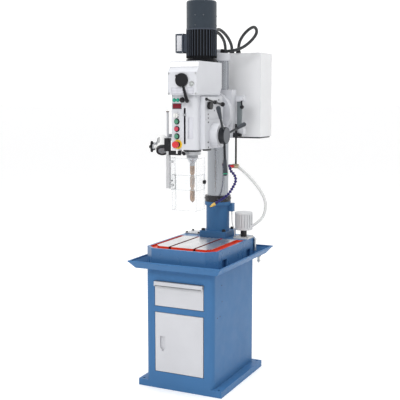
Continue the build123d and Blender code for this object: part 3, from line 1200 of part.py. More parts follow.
# Upper shield is fixed to the guard arm; the lower one slides inside it
pieces["upper_shield"] = shield(0, UPPER_SHIELD_Z)
pieces["lower_shield"] = shield(SHIELD_T + SLIP, LOWER_SHIELD_Z)

# Lamp bracket at the left of the head and the lamp that tilts on its pin
lamp_left = LAMP_X - LAMP_TAIL_R - LAMP_TAIL * LAMP_AIM[0]
plate_x = (lamp_left - LAMP_PLATE_GAP - LAMP_PLATE_T, lamp_left - LAMP_PLATE_GAP)
pin_end = LAMP_X - LAMP_R
bracket = block((plate_x[0], -head_half), (LAMP_ARM_Y - 6, LAMP_ARM_Y + 6), (LAMP_ARM_Z - 9, LAMP_ARM_Z + 9))
strap = [(LAMP_ARM_Y + 6, LAMP_ARM_Z - 9), (LAMP_ARM_Y + 6, LAMP_ARM_Z + 9), (LAMP_ARM_Y - 6, LAMP_ARM_Z + 9),
         (LAMP_Y - 11, LAMP_Z + 11), (LAMP_Y - 11, LAMP_Z - 11), (LAMP_Y + 11, LAMP_Z - 11)]
bracket += Pos(plate_x[0], 0, 0) * extrude(Plane.YZ * Polygon(*strap, align=None), plate_x[1] - plate_x[0])
bracket += along_x(LAMP_PIN_R, (plate_x[1], pin_end), LAMP_Y, LAMP_Z)
pieces["lamp_bracket"] = bracket
aim = Plane(origin=(LAMP_X, LAMP_Y, LAMP_Z), z_dir=LAMP_AIM)
lamp = Pos(0, 0, -LAMP_TAIL) * Cone(LAMP_TAIL_R, LAMP_R, LAMP_TAIL + LAMP_FRONT - 12, align=FOOT)
lamp += Pos(0, 0, -LAMP_TAIL) * Sphere(LAMP_TAIL_R)
lamp += Pos(0, 0, LAMP_FRONT - 14) * Cylinder(LAMP_BEZEL_R, 14, align=FOOT)
lamp -= Pos(0, 0, LAMP_FRONT - 3) * Cylinder(LAMP_BEZEL_R - 4, 3, align=FOOT)
lamp = aim * lamp
lamp += along_x(LAMP_PIN_R + 4, (plate_x[1] + SLIP, LAMP_X), LAMP_Y, LAMP_Z)
lamp -= along_x(LAMP_PIN_R + RUN, (plate_x[1], pin_end + SLIP), LAMP_Y, LAMP_Z)
pieces["lamp_head"] = lamp

# Write one file per piece
for name, shape in pieces.items():
    export_step(shape, f"parts/{name}.step")
print(len(pieces), "pieces written")
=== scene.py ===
import math

import bmesh
import bpy
from mathutils import Matrix, Vector


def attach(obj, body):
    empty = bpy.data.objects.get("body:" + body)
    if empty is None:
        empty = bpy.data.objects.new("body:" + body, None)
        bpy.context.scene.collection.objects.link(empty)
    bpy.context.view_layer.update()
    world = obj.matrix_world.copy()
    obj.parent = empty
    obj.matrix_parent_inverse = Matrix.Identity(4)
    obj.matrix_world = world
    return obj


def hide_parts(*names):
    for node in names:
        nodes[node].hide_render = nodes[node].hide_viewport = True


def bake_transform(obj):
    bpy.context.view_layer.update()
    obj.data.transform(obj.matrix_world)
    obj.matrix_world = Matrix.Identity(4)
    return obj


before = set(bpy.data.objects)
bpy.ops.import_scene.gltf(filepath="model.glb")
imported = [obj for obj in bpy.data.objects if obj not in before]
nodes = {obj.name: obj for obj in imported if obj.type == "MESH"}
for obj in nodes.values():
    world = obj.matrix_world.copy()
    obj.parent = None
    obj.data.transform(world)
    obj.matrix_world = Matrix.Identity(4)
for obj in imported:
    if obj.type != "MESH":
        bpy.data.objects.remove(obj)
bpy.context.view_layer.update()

# Sizes and places are in millimetres, in the model's own frame, unless a comment says metres
MM = 0.001
UP = (0, 0, 1)
DOWN = (0, 0, -1)
RIGHT = (1, 0, 0)
LEFT = (-1, 0, 0)
FORWARD = (0, -1, 0)
BACKWARD = (0, 1, 0)
X_AXIS = 0
Z_AXIS = 2
COLUMN_Y = 200
MOTOR_Y = -10
QUILL_Y = -120
HEAD_FRONT = -212
CASE_FRONT = -234
BOX_TOP = 1749
CAP_ENTRY = (18, COLUMN_Y, 1752)
LOOP_GLAND = (62, 332, BOX_TOP)
RIGHT_GLAND = (20, 340, BOX_TOP)
LEFT_GLAND = (-18, 336, BOX_TOP)
STOP_CENTRE = (-36, HEAD_FRONT, 1269)
SIGHT_CENTRE = (53.5, CASE_FRONT, 1571)
LAMP_AIM = Vector((0.36, -0.63, -0.69)).normalized()
LAMP_CENTRE = Vector((-156, -154, 1251))
LAMP_RING_START = 15.8
FIN_CREST = 77.5
FLANGE_TOP = 1716.5

# Scales of the noise in the materials, and the range of its values that is used
CLOUD_SCALE = 5
SMEAR_SCALE = 14
GLOSS_SCALE = 18
RIPPLE_SCALE = 40
EDGE_WEAR_AND_HIGHLIGHT_SCALE = 60
MOULD_GLOSS_SCALE = 90
PEEL_SCALE = 420
MOULD_SCALE = 900
NOISE_LOW = 0.3
NOISE_HIGH = 0.7

# Radius of the softened edges, and how much lighter and stronger their wear and painted highlight are
PAINT_EDGE = 1.6
BARE_EDGE = 0.8
EDGE_LIGHT = 1.12
EDGE_GAIN = 3.0


# Materials

def link(tree, source, target):
    tree.links.new(source, target)


def start_material(name, sheen=0.5):
    """A new node material and its main shader."""
    material = bpy.data.materials.new(name)
    material.use_nodes = True
    tree = material.node_tree
    shader = tree.nodes["Principled BSDF"]
    shader.inputs["Specular IOR Level"].default_value = sheen
    return material, tree, shader


def place_of(tree):
    """The point's place in the model's frame, in metres."""
    return tree.nodes.new("ShaderNodeTexCoord").outputs["Object"]


def noise(tree, scale, detail=4.0, stretch=(1, 1, 1)):
    """A noise value that follows the model, drawn out by the stretch."""
    mapping = tree.nodes.new("ShaderNodeMapping")
    mapping.inputs["Scale"].default_value = stretch
    link(tree, place_of(tree), mapping.inputs["Vector"])
    texture = tree.nodes.new("ShaderNodeTexNoise")
    texture.inputs["Scale"].default_value = scale
    texture.inputs["Detail"].default_value = detail
    link(tree, mapping.outputs["Vector"], texture.inputs["Vector"])
    return texture.outputs["Fac"]


def spread(tree, value, low=0.0, high=1.0):
    """The noise value mapped onto a range."""
    node = tree.nodes.new("ShaderNodeMapRange")
    node.inputs["From Min"].default_value = NOISE_LOW
    node.inputs["From Max"].default_value = NOISE_HIGH
    node.inputs["To Min"].default_value = low
    node.inputs["To Max"].default_value = high
    link(tree, value, node.inputs["Value"])
    return node.outputs["Result"]


def maths(tree, operation, first, second=None):
    """One arithmetic step on sockets or plain numbers."""
    node = tree.nodes.new("ShaderNodeMath")
    node.operation = operation
    for socket, value in zip(node.inputs, (first, second)):
        if value is None:
            continue
        if isinstance(value, (int, float)):
            socket.default_value = value
        else:
            link(tree, value, socket)
    return node.outputs["Value"]


def mixed(tree, amount, first, second):
    """A colour between two, which are sockets or plain colours."""
    node = tree.nodes.new("ShaderNodeMix")
    node.data_type = "RGBA"
    link(tree, amount, node.inputs[0])
    # The colour sockets come after those for numbers and vectors, which have the same names
    colour_inputs = node.inputs[6], node.inputs[7]
    for socket, value in zip(colour_inputs, (first, second)):
        if isinstance(value, tuple):
            socket.default_value = (*value, 1)
        else:
            link(tree, value, socket)
    colour_output = node.outputs[2]
    return colour_output


def shade(colour, factor):
    return tuple(min(1.0, part * factor) for part in colour)


def soft_edges(tree, radius):
    """A normal that rounds the edges by a small radius."""
    node = tree.nodes.new("ShaderNodeBevel")
    node.samples = 4
    node.inputs["Radius"].default_value = radius * MM
    return node.outputs["Normal"]


def edge_share(tree, rounded):
    """How much the rounded normal leaves the true one: high along edges."""
    true_normal = tree.nodes.new("ShaderNodeNewGeometry").outputs["Normal"]
    node = tree.nodes.new("ShaderNodeVectorMath")
    node.operation = "DOT_PRODUCT"
    link(tree, rounded, node.inputs[0])
    link(tree, true_normal, node.inputs[1])
    gap = maths(tree, "SUBTRACT", 1.0, node.outputs["Value"])
    return maths(tree, "MULTIPLY", gap, EDGE_GAIN)


def add_bump(tree, shader, height, strength, depth, normal=None):
    node = tree.nodes.new("ShaderNodeBump")
    node.inputs["Strength"].default_value = strength
    node.inputs["Distance"].default_value = depth * MM
    link(tree, height, node.inputs["Height"])
    if normal is not None:
        link(tree, normal, node.inputs["Normal"])
    link(tree, node.outputs["Normal"], shader.inputs["Normal"])


def finish_paint(tree, shader, colour, roughness, peel=0.12):
    """Enamel over a colour socket: edges painted lighter, partly as wear and partly as painted highlight,
    varied gloss and orange peel.
    """
    rounded = soft_edges(tree, PAINT_EDGE)
    # The edges are lightened in patches, partly as wear and partly as a painted highlight along them
    edge_wear_and_highlight = maths(tree, "MULTIPLY", edge_share(tree, rounded), noise(tree, EDGE_WEAR_AND_HIGHLIGHT_SCALE))
    lighter = tree.nodes.new("ShaderNodeHueSaturation")
    lighter.inputs["Value"].default_value = EDGE_LIGHT
    link(tree, colour, lighter.inputs["Color"])
    colour = mixed(tree, edge_wear_and_highlight, colour, lighter.outputs["Color"])
    link(tree, colour, shader.inputs["Base Color"])
    gloss = spread(tree, noise(tree, GLOSS_SCALE), roughness - 0.05, roughness + 0.07)
    link(tree, gloss, shader.inputs["Roughness"])
    add_bump(tree, shader, noise(tree, PEEL_SCALE, 2.0), peel, 0.25, rounded)


def clouded(tree, colour, amount):
    """A colour that wanders a little over the surface."""
    cloud = spread(tree, noise(tree, CLOUD_SCALE))
    return mixed(tree, cloud, shade(colour, 1 - amount), shade(colour, 1 + amount))


def paint(name, colour, roughness, amount=0.04, peel=0.12, sheen=0.5):
    """Enamel of one clouded colour under a thin coat."""
    material, tree, shader = start_material(name, sheen)
    shader.inputs["Coat Weight"].default_value = 0.06
    shader.inputs["Coat Roughness"].default_value = 0.2
    finish_paint(tree, shader, clouded(tree, colour, amount), roughness, peel)
    return material


def moulded(name, colour, roughness, grain=0.15, sheen=0.5):
    """Plastic or rubber with a fine mould grain."""
    material, tree, shader = start_material(name, sheen)
    rounded = soft_edges(tree, BARE_EDGE)
    link(tree, clouded(tree, colour, 0.08), shader.inputs["Base Color"])
    gloss = spread(tree, noise(tree, MOULD_GLOSS_SCALE), roughness - 0.06, roughness + 0.08)
    link(tree, gloss, shader.inputs["Roughness"])
    add_bump(tree, shader, noise(tree, MOULD_SCALE, 3.0), grain, 0.2, rounded)
    return material


def steel(name, colour, roughness, stretch, scale):
    """Bare metal with grinding marks, drawn out by the stretch."""
    material, tree, shader = start_material(name)
    shader.inputs["Metallic"].default_value = 1.0
    rounded = soft_edges(tree, BARE_EDGE)
    marks = noise(tree, scale, 6.0, stretch)
    tone = mixed(tree, spread(tree, marks), shade(colour, 0.88), shade(colour, 1.08))
    link(tree, tone, shader.inputs["Base Color"])
    link(tree, spread(tree, marks, roughness - 0.08, roughness + 0.1), shader.inputs["Roughness"])
    add_bump(tree, shader, marks, 0.06, 0.15, rounded)
    return material


def clear(name, colour, alpha, roughness=0.08):
    """Clear plastic sheet or hose: thin, glossy and a little smeared."""
    material, tree, shader = start_material(name)
    link(tree, clouded(tree, colour, 0.03), shader.inputs["Base Color"])
    gloss = spread(tree, noise(tree, SMEAR_SCALE), roughness, roughness + 0.12)
    link(tree, gloss, shader.inputs["Roughness"])
    shader.inputs["Alpha"].default_value = alpha
    add_bump(tree, shader, noise(tree, RIPPLE_SCALE), 0.02, 0.2)
    return material


def axis_parts(tree):
    """The point's x, y and z in the model's frame, in metres."""
    node = tree.nodes.new("ShaderNodeSeparateXYZ")
    link(tree, place_of(tree), node.inputs["Vector"])
    return node.outputs["X"], node.outputs["Y"], node.outputs["Z"]


def over(tree, value, limit):
    return maths(tree, "GREATER_THAN", value, limit)


def under(tree, value, limit):
    return maths(tree, "LESS_THAN", value, limit)


def all_of(tree, *masks):
    """Where all the masks hold."""
    total = masks[0]
    for mask in masks[1:]:
        total = maths(tree, "MULTIPLY", total, mask)
    return total


def between(tree, value, low, high):
    return all_of(tree, over(tree, value, low), under(tree, value, high))


def outside(tree, mask):
    """Where a mask doesn't hold."""
    return maths(tree, "SUBTRACT", 1.0, mask)


BLUE = (0.052, 0.155, 0.33)
WHITE = (0.57, 0.58, 0.61)
PANEL = (0.55, 0.555, 0.58)
BLACK = (0.012, 0.012, 0.014)
VIOLET = (0.020, 0.014, 0.135)

blue_paint = paint("blue_enamel", BLUE, 0.42, sheen=0.12)
white_paint = paint("white_enamel", WHITE, 0.34)
panel_paint = paint("panel_enamel", PANEL, 0.38)
box_paint = paint("box_enamel", (0.70, 0.705, 0.715), 0.42)
cover_paint = paint("cover_enamel", (0.028, 0.038, 0.050), 0.42, 0.08, peel=0.3, sheen=0.3)
black_paint = paint("black_enamel", BLACK, 0.4, 0.1, sheen=0.2)
hub_paint = paint("hub_enamel", (0.085, 0.093, 0.105), 0.42, 0.06)
bar_paint = paint("bar_enamel", (0.160, 0.186, 0.195), 0.42, 0.06)
# The column's marks run straight up and down: partly grinding marks, partly painted reflection bands
column_steel = steel("column_steel", (0.40, 0.42, 0.45), 0.22, (1, 1, 0.002), 60)
ground_steel = steel("ground_steel", (0.55, 0.56, 0.58), 0.3, (30, 30, 2), 20)
quill_steel = steel("quill_steel", (0.62, 0.63, 0.65), 0.4, (2, 2, 40), 20)
spindle_steel = steel("spindle_steel", (0.36, 0.37, 0.39), 0.3, (2, 2, 40), 20)
rod_steel = steel("rod_steel", (0.065, 0.070, 0.076), 0.36, (10, 10, 10), 30)
black_steel = steel("black_steel", (0.06, 0.06, 0.065), 0.38, (10, 10, 10), 30)
drill_steel = steel("drill_steel", (0.36, 0.235, 0.15), 0.3, (20, 20, 4), 30)
zinc = steel("zinc", (0.62, 0.63, 0.62), 0.36, (12, 12, 12), 30)
black_plastic = moulded("black_plastic", BLACK, 0.36, sheen=0.25)
grip_plastic = moulded("grip_plastic", (0.043, 0.049, 0.058), 0.45, sheen=0.15)
white_plastic = moulded("white_plastic", (0.72, 0.72, 0.70), 0.3)
red_plastic = moulded("red_plastic", (0.58, 0.030, 0.036), 0.28)
rose_plastic = moulded("rose_plastic", (0.50, 0.048, 0.085), 0.3)
green_plastic = moulded("green_plastic", (0.070, 0.235, 0.145), 0.3)
ring_plastic = moulded("ring_plastic", (0.010, 0.24, 0.14), 0.4)
yellow_plastic = moulded("yellow_plastic", (0.76, 0.47, 0.02), 0.36)
nozzle_plastic = moulded("nozzle_plastic", (0.80, 0.53, 0.13), 0.36)
violet_plastic = moulded("violet_plastic", VIOLET, 0.34)
teal_plastic = moulded("teal_plastic", (0.012, 0.29, 0.185), 0.2)
display_plastic = moulded("display_plastic", (0.16, 0.012, 0.022), 0.3, 0.02, sheen=0.2)
black_rubber = moulded("black_rubber", (0.026, 0.028, 0.030), 0.42, 0.3)
lead_rubber = moulded("lead_rubber", (0.62, 0.62, 0.61), 0.5)
# Mid grey for the strip on the drawer's lip, painted shade under the pull
lip_shade_paint = moulded("lip_shade_paint", (0.17, 0.175, 0.18), 0.5)
brown_plastic = moulded("brown_plastic", (0.075, 0.040, 0.030), 0.4)
clear_sheet = clear("clear_sheet", (0.88, 0.92, 0.94), 0.07)
# Paler, less clear strips for the sheets' edges and folds, painted highlights
clear_edge = clear("clear_edge", (0.66, 0.70, 0.72), 0.30)
clear_hose = clear("clear_hose", (0.70, 0.71, 0.70), 0.78, 0.2)
glass = clear("sight_glass", (0.55, 0.58, 0.57), 0.75)
lens_glass = clear("lens_glass", (0.20, 0.21, 0.22), 0.9, 0.15)
bright_paint = paint("bright_plate", (0.86, 0.86, 0.87), 0.4, 0.02)
plate_paint = paint("plate_print", (0.575, 0.58, 0.625), 0.5, 0.03)
post_paint = paint("post_enamel", (0.40, 0.41, 0.43), 0.4)
tank_paint = paint("tank_cover_enamel", (0.46, 0.47, 0.49), 0.4)
line_paint = paint("print_lines", (0.16, 0.17, 0.20), 0.5, 0.03)
chart_lines = paint("chart_lines", (0.40, 0.41, 0.45), 0.5, 0.03)


def table_paint():
    """Blue casting whose channel is red and whose work area is ground steel, with its limits in metres."""
    material, tree, shader = start_material("table_enamel", 0.3)
    x, y, z = axis_parts(tree)
    wide = maths(tree, "ABSOLUTE", x)
    ground_level = 0.7457
    slot_level = 0.7452
    channel_level = 0.7

    def inside(half, front, back, bevel):
        """Inside an outline with bevelled front corners."""
        forward = maths(tree, "SUBTRACT", wide, y)
        corner = under(tree, forward, half - front - bevel)
        return all_of(tree, under(tree, wide, half), between(tree, y, front, back), corner)

    outer = inside(0.1902, -0.2762, 0.1202, 0.0444)
    inner = inside(0.1562, -0.2422, 0.0952, 0.0245)
    slotted = inside(0.150, -0.236, 0.089, 0.0245)
    ground = all_of(tree, inner, over(tree, z, ground_level))
    red = all_of(tree, outer, over(tree, z, channel_level), outside(tree, ground))
    slot_shade = all_of(tree, slotted, under(tree, z, slot_level), red)
    marks = noise(tree, 26, 6.0, (40, 1, 1))
    metal = mixed(tree, spread(tree, marks), (0.50, 0.50, 0.51), (0.66, 0.66, 0.67))
    # The T-slots keep the red paint but are painted darker, as painted shade inside them
    red_tone = mixed(tree, slot_shade, (0.60, 0.050, 0.018), (0.20, 0.016, 0.010))
    colour = mixed(tree, red, clouded(tree, BLUE, 0.04), red_tone)
    colour = mixed(tree, ground, colour, metal)
    finish_paint(tree, shader, colour, 0.3)
    link(tree, maths(tree, "MULTIPLY", ground, 0.85), shader.inputs["Metallic"])
    return material


def head_paint():
    """White casting with the depth slot painted near black, as painted shade for its dark inside; the limits
    are in metres.
    """
    material, tree, shader = start_material("head_enamel")
    x, y, z = axis_parts(tree)
    slot_width = between(tree, x, -0.0022, 0.0082)
    slot_depth = between(tree, y, -0.2117, -0.15)
    slot_height = between(tree, z, 1.2718, 1.4522)
    slot_shade = all_of(tree, slot_width, slot_depth, slot_height)
    # The slot is painted near black, as painted shade
    colour = mixed(tree, slot_shade, clouded(tree, WHITE, 0.03), (0.006, 0.006, 0.007))
    finish_paint(tree, shader, colour, 0.34)
    return material


def motor_paint():
    """Black motor with the fin crests painted paler as painted highlights, and the gaps between them painted
    near black as painted shade.
    """
    material, tree, shader = start_material("motor_enamel", 0.22)
    x, y, z = axis_parts(tree)
    back = maths(tree, "SUBTRACT", y, MOTOR_Y * MM)
    squares = maths(tree, "ADD", maths(tree, "MULTIPLY", x, x), maths(tree, "MULTIPLY", back, back))
    reach = maths(tree, "SQRT", squares)
    crest_highlight = all_of(tree, over(tree, reach, FIN_CREST * MM), over(tree, z, FLANGE_TOP * MM))
    # Painted highlight on the fin crests and painted shade in the gaps between them
    colour = mixed(tree, crest_highlight, (0.0035, 0.0040, 0.0055), clouded(tree, (0.052, 0.062, 0.080), 0.1))
    finish_paint(tree, shader, colour, 0.34)
    return material


def pump_paint():
    """Pale pump motor and flange with a black neck between them, whose limits are in metres."""
    material, tree, shader = start_material("pump_finish")
    x, _, z = axis_parts(tree)
    neck_bottom = 0.7485
    neck_top = 0.7885
    outlet_start = 0.2
    neck = all_of(tree, between(tree, z, neck_bottom, neck_top), under(tree, x, outlet_start))
    colour = mixed(tree, neck, clouded(tree, (0.57, 0.58, 0.59), 0.05), (0.02, 0.02, 0.022))
    finish_paint(tree, shader, colour, 0.5, peel=0.2)
    return material


def guard_paint():
    """Black block and hook on a pale hanging bar, with their limits in metres."""
    material, tree, shader = start_material("guard_finish", 0.3)
    x, _, z = axis_parts(tree)
    hook_left = -0.0885
    hook_bottom = 1.2125
    block_bottom = 1.2325
    hook = all_of(tree, over(tree, x, hook_left), over(tree, z, hook_bottom))
    black = maths(tree, "MAXIMUM", hook, over(tree, z, block_bottom))
    colour = mixed(tree, black, clouded(tree, (0.47, 0.475, 0.485), 0.03), BLACK)
    finish_paint(tree, shader, colour, 0.36)
    return material


def valve_paint():
    """Brass valve with a violet socket and a pale hose tail, whose limits are in metres."""
    material, tree, shader = start_material("valve_finish")
    x = axis_parts(tree)[0]
    socket_end = 0.1005
    tail_start = 0.1425
    socket = under(tree, x, socket_end)
    tail = over(tree, x, tail_start)
    marks = spread(tree, noise(tree, 400))
    metal = mixed(tree, marks, (0.50, 0.43, 0.29), (0.60, 0.52, 0.36))
    colour = mixed(tree, socket, metal, VIOLET)
    colour = mixed(tree, tail, colour, (0.52, 0.53, 0.52))
    finish_paint(tree, shader, colour, 0.34)
    bare = outside(tree, maths(tree, "MAXIMUM", socket, tail))
    link(tree, maths(tree, "MULTIPLY", bare, 0.8), shader.inputs["Metallic"])
    return material


def two_finish(name, axis, limit, below, above, roughness=0.36):
    """One colour below a limit on an axis and another above it, the limit in metres."""
    material, tree, shader = start_material(name, 0.3)
    upper = over(tree, axis_parts(tree)[axis], limit)
    colour = mixed(tree, upper, clouded(tree, below, 0.06), clouded(tree, above, 0.06))
    finish_paint(tree, shader, colour, roughness)
    return material


def lamp_paint():
    """White lamp shell with a black front ring."""
    material, tree, shader = start_material("lamp_finish")
    toward = tree.nodes.new("ShaderNodeVectorMath")
    toward.operation = "DOT_PRODUCT"
    toward.inputs[1].default_value = LAMP_AIM
    link(tree, place_of(tree), toward.inputs[0])
    ring_start = (LAMP_CENTRE.dot(LAMP_AIM) + LAMP_RING_START) * MM
    ring = over(tree, toward.outputs["Value"], ring_start)
    colour = mixed(tree, ring, clouded(tree, (0.72, 0.72, 0.71), 0.03), BLACK)
    finish_paint(tree, shader, colour, 0.3)
    return material


finishes = {
    blue_paint: ["cabinet_stand", "drip_tray", "column_foot"],
    table_paint(): ["base_table"],
    panel_paint: ["drawer", "cabinet_door"],
    white_paint: ["gearbox_case", "column_sleeve", "column_cap", "lamp_bracket"],
    head_paint(): ["head_casting"],
    box_paint: ["electrical_box", "electrical_lid"],
    column_steel: ["column_tube"],
    ground_steel: ["column_rack", "motor_rotor", "intermediate_gear", "spindle_gear",
                   "shaft_bearings", "quill_bearings", "feed_pinion", "lift_pinion", "depth_pointer"],
    quill_steel: ["quill"],
    spindle_steel: ["spindle"],
    black_steel: ["rack_ring", "coolant_clamp", "lift_crank"],
    black_paint: ["coolant_rod"],
    two_finish("clamp_lever_finish", Z_AXIS, 1.4875, BLACK, WHITE): ["clamp_lever"],
    two_finish("quill_lock_finish", X_AXIS, -0.0255, (0.5, 0.5, 0.51), BLACK): ["quill_lock"],
    motor_paint(): ["motor_frame"],
    cover_paint: ["fan_cover"],
    two_finish("hub_finish", X_AXIS, 0.1702, (0.016, 0.018, 0.021), (0.105, 0.113, 0.125), 0.42):
        ["feed_hub"],
    rod_steel: ["feed_rods"],
    grip_plastic: ["feed_grips"],
    black_plastic: ["speed_lever", "range_knob", "feed_selector", "feed_lever"],
    guard_paint(): ["guard_arm"],
    pump_paint(): ["coolant_pump"],
    lamp_paint(): ["lamp_head"],
    white_plastic: ["mode_switch"],
    post_paint: ["guard_post"],
    clear_sheet: ["upper_shield", "lower_shield"],
    red_plastic: ["emergency_stop", "valve_handle"],
    rose_plastic: ["stop_button"],
    green_plastic: ["start_button", "tap_button"],
    valve_paint(): ["coolant_valve"],
    nozzle_plastic: ["coolant_nozzle"],
    drill_steel: ["drill_bit"],
    clear_hose: ["coolant_hose"],
    violet_plastic: ["jointed_hose"],
    black_rubber: ["conduit_loop", "motor_conduits"],
    lead_rubber: ["pump_lead"],
}
for material, names in finishes.items():
    for name in names:
        nodes[name].data.materials.clear()
        nodes[name].data.materials.append(material)


# Meshes for the trim that the solids leave out

def add_piece(name, shape, body, material, smooth=40):
    """Turns a shape into a piece on a body, with faces smooth up to an angle in degrees."""
    mesh = bpy.data.meshes.new(name)
    bmesh.ops.recalc_face_normals(shape, faces=shape.faces)
    shape.to_mesh(mesh)
    shape.free()
    mesh.materials.append(material)
    piece = bpy.data.objects.new(name, mesh)
    bpy.context.scene.collection.objects.link(piece)
    mesh.shade_smooth()
    mesh.set_sharp_from_angle(angle=math.radians(smooth))
    if body is not None:
        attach(piece, body)
    return piece


def turn_to(start, way):
    """A matrix that takes +Z onto a way and the origin onto a point given in millimetres."""
    turned = Vector(way).to_track_quat("Z", "Y").to_matrix().to_4x4()
    return Matrix.Translation(Vector(start) * MM) @ turned


def join_rings(shape, low, high):
    """Adds the band of faces between two rings with the same number of points."""
    sides = len(low)
    for n in range(sides):
        after = (n + 1) % sides
        shape.faces.new((low[n], low[after], high[after], high[n]))


def add_lathe(shape, profile, start, way, sides=32, lobes=0, lobe_depth=0.0, hollow=False):
    """Adds a turned form: (along, radius) pairs about an axis, with a lobed edge or a hole where asked."""
    placed = turn_to(start, way)
    rings = []
    for along, radius in profile:
        ring = []
        for n in range(sides):
            angle = 2 * math.pi * n / sides
            wave = 1 + lobe_depth * math.cos(lobes * angle) if lobes else 1
            across = radius * wave * math.cos(angle)
            aside = radius * wave * math.sin(angle)
            ring.append(shape.verts.new(placed @ (Vector((across, aside, along)) * MM)))
        rings.append(ring)
    pairs = list(zip(rings, rings[1:]))
    if hollow:
        pairs.append((rings[-1], rings[0]))
    else:
        shape.faces.new(rings[0])
        shape.faces.new(rings[-1])
    for low, high in pairs:
        join_rings(shape, low, high)


def add_box(shape, x, y, z, bevel):
    """Adds a box with rounded edges between two values on each axis."""
    middle = Vector(((x[0] + x[1]) / 2, (y[0] + y[1]) / 2, (z[0] + z[1]) / 2)) * MM
    sizes = Vector((x[1] - x[0], y[1] - y[0], z[1] - z[0])) * MM
    placed = Matrix.Translation(middle) @ Matrix.Diagonal((*sizes, 1))
    made = bmesh.ops.create_cube(shape, size=1, matrix=placed)
    edges = {edge for vert in made["verts"] for edge in vert.link_edges}
    bmesh.ops.bevel(shape, geom=list(edges), offset=bevel * MM, segments=2, affect="EDGES", profile=0.5)


def add_strip(shape, start, end, normal, width, height):
    """Adds a straight flat strip that stands a little proud of a surface with the given normal."""
    along = (Vector(end) - Vector(start)).normalized()
    up = (Vector(normal) - along * along.dot(Vector(normal))).normalized()
    side = along.cross(up) * width / 2
    corners = []
    for level in (-height, height):
        for place, sign in ((start, 1), (end, 1), (end, -1), (start, -1)):
            corners.append(shape.verts.new((Vector(place) + side * sign + up * level) * MM))
    faces = [(0, 1, 2, 3), (4, 5, 6, 7), (0, 1, 5, 4), (1, 2, 6, 5), (2, 3, 7, 6), (3, 0, 4, 7)]
    for face in faces:
        shape.faces.new([corners[n] for n in face])


def add_socket_head(shape, start, way, radius, height):
    """Adds a socket head screw with its recess."""
    recess = 0.55 * radius
    bottom = 0.45 * height
    profile = [(0, radius), (0.85 * height, radius), (height, 0.86 * radius), (height, recess),
               (bottom, recess), (bottom, 0.05)]
    add_lathe(shape, profile, start, way, 24)


def add_pan_head(shape, start, way, radius, height):
    """Adds a low domed screw."""
    profile = [(0, radius), (0.4 * height, radius), (0.8 * height, 0.75 * radius), (height, 0.35 * radius)]
    add_lathe(shape, profile, start, way, 20)


def lathe_set(name, profile, places, way, body, material, **more):
    """Like turned forms at several places, as one piece."""
    shape = bmesh.new()
    for place in places:
        add_lathe(shape, profile, place, way, **more)
    add_piece(name, shape, body, material)


def lathe_piece(name, profile, place, way, body, material, **more):
    lathe_set(name, profile, [place], way, body, material, **more)


def screw_set(name, add_screw, places, way, radius, height, body, material):
    """Like screws at several places, as one piece."""
    shape = bmesh.new()
    for place in places:
        add_screw(shape, place, way, radius, height)
    add_piece(name, shape, body, material)


def box_piece(name, x, y, z, body, material, bevel):
    shape = bmesh.new()
    add_box(shape, x, y, z, bevel)
    add_piece(name, shape, body, material)


def grid(xs, ys, zs):
    """Every place with an x, a y and a z from the three lists."""
    return [(x, y, z) for x in xs for y in ys for z in zs]


def either_side(middle, reach):
    return middle - reach, middle + reach


def around(y, radius, turn, z):
    """A place on a level circle about an upright axis at x = 0, and the way out there."""
    out = (math.cos(turn), math.sin(turn), 0)
    return (radius * out[0], y + radius * out[1], z), out


def smooth_line(name, route):
    """Points along the smooth line that a route's points control."""
    curve = bpy.data.curves.new(name + "_line", "CURVE")
    curve.dimensions = "3D"
    curve.resolution_u = 24
    spline = curve.splines.new("NURBS")
    spline.points.add(len(route) - 1)
    for point, place in zip(spline.points, route):
        point.co = (*place, 1)
    spline.order_u = 3
    spline.use_endpoint_u = True
    holder = bpy.data.objects.new(name + "_line", curve)
    bpy.context.scene.collection.objects.link(holder)
    bpy.context.view_layer.update()
    evaluated = holder.evaluated_get(bpy.context.evaluated_depsgraph_get())
    mesh = bpy.data.meshes.new_from_object(evaluated)
    points = [vert.co.copy() for vert in mesh.vertices]
    bpy.data.meshes.remove(mesh)
    bpy.data.objects.remove(holder)
    bpy.data.curves.remove(curve)
    return points


def along_line(points, step):
    """Points and ways at an even step along a line, from end to end, and the line's length."""
    spans = [(b - a).length for a, b in zip(points, points[1:])]
    total = sum(spans)
    count = max(2, round(total / step))
    found = []
    at = 0
    passed = 0.0
    for n in range(count + 1):
        target = total * n / count
        while at < len(spans) - 1 and passed + spans[at] < target:
            passed += spans[at]
            at += 1
        way = (points[at + 1] - points[at]).normalized()
        found.append((points[at] + way * (target - passed), way))
    return found, total


def tube(line, radius_of, sides=16):
    """A tube round a line whose radius, in millimetres, may change from ring to ring."""
    shape = bmesh.new()
    across = line[0][1].orthogonal().normalized()
    rings = []
    for n, (place, way) in enumerate(line):
        across = (across - way * across.dot(way)).normalized()
        other = way.cross(across)
        radius = radius_of(n) * MM
        ring = []
        for k in range(sides):
            angle = 2 * math.pi * k / sides
            out = across * math.cos(angle) + other * math.sin(angle)
            ring.append(shape.verts.new(place + out * radius))
        rings.append(ring)
    for low, high in zip(rings, rings[1:]):
        join_rings(shape, low, high)
    shape.faces.new(rings[0])
    shape.faces.new(rings[-1])
    return shape


def metres(route):
    return [tuple(value * MM for value in point) for point in route]


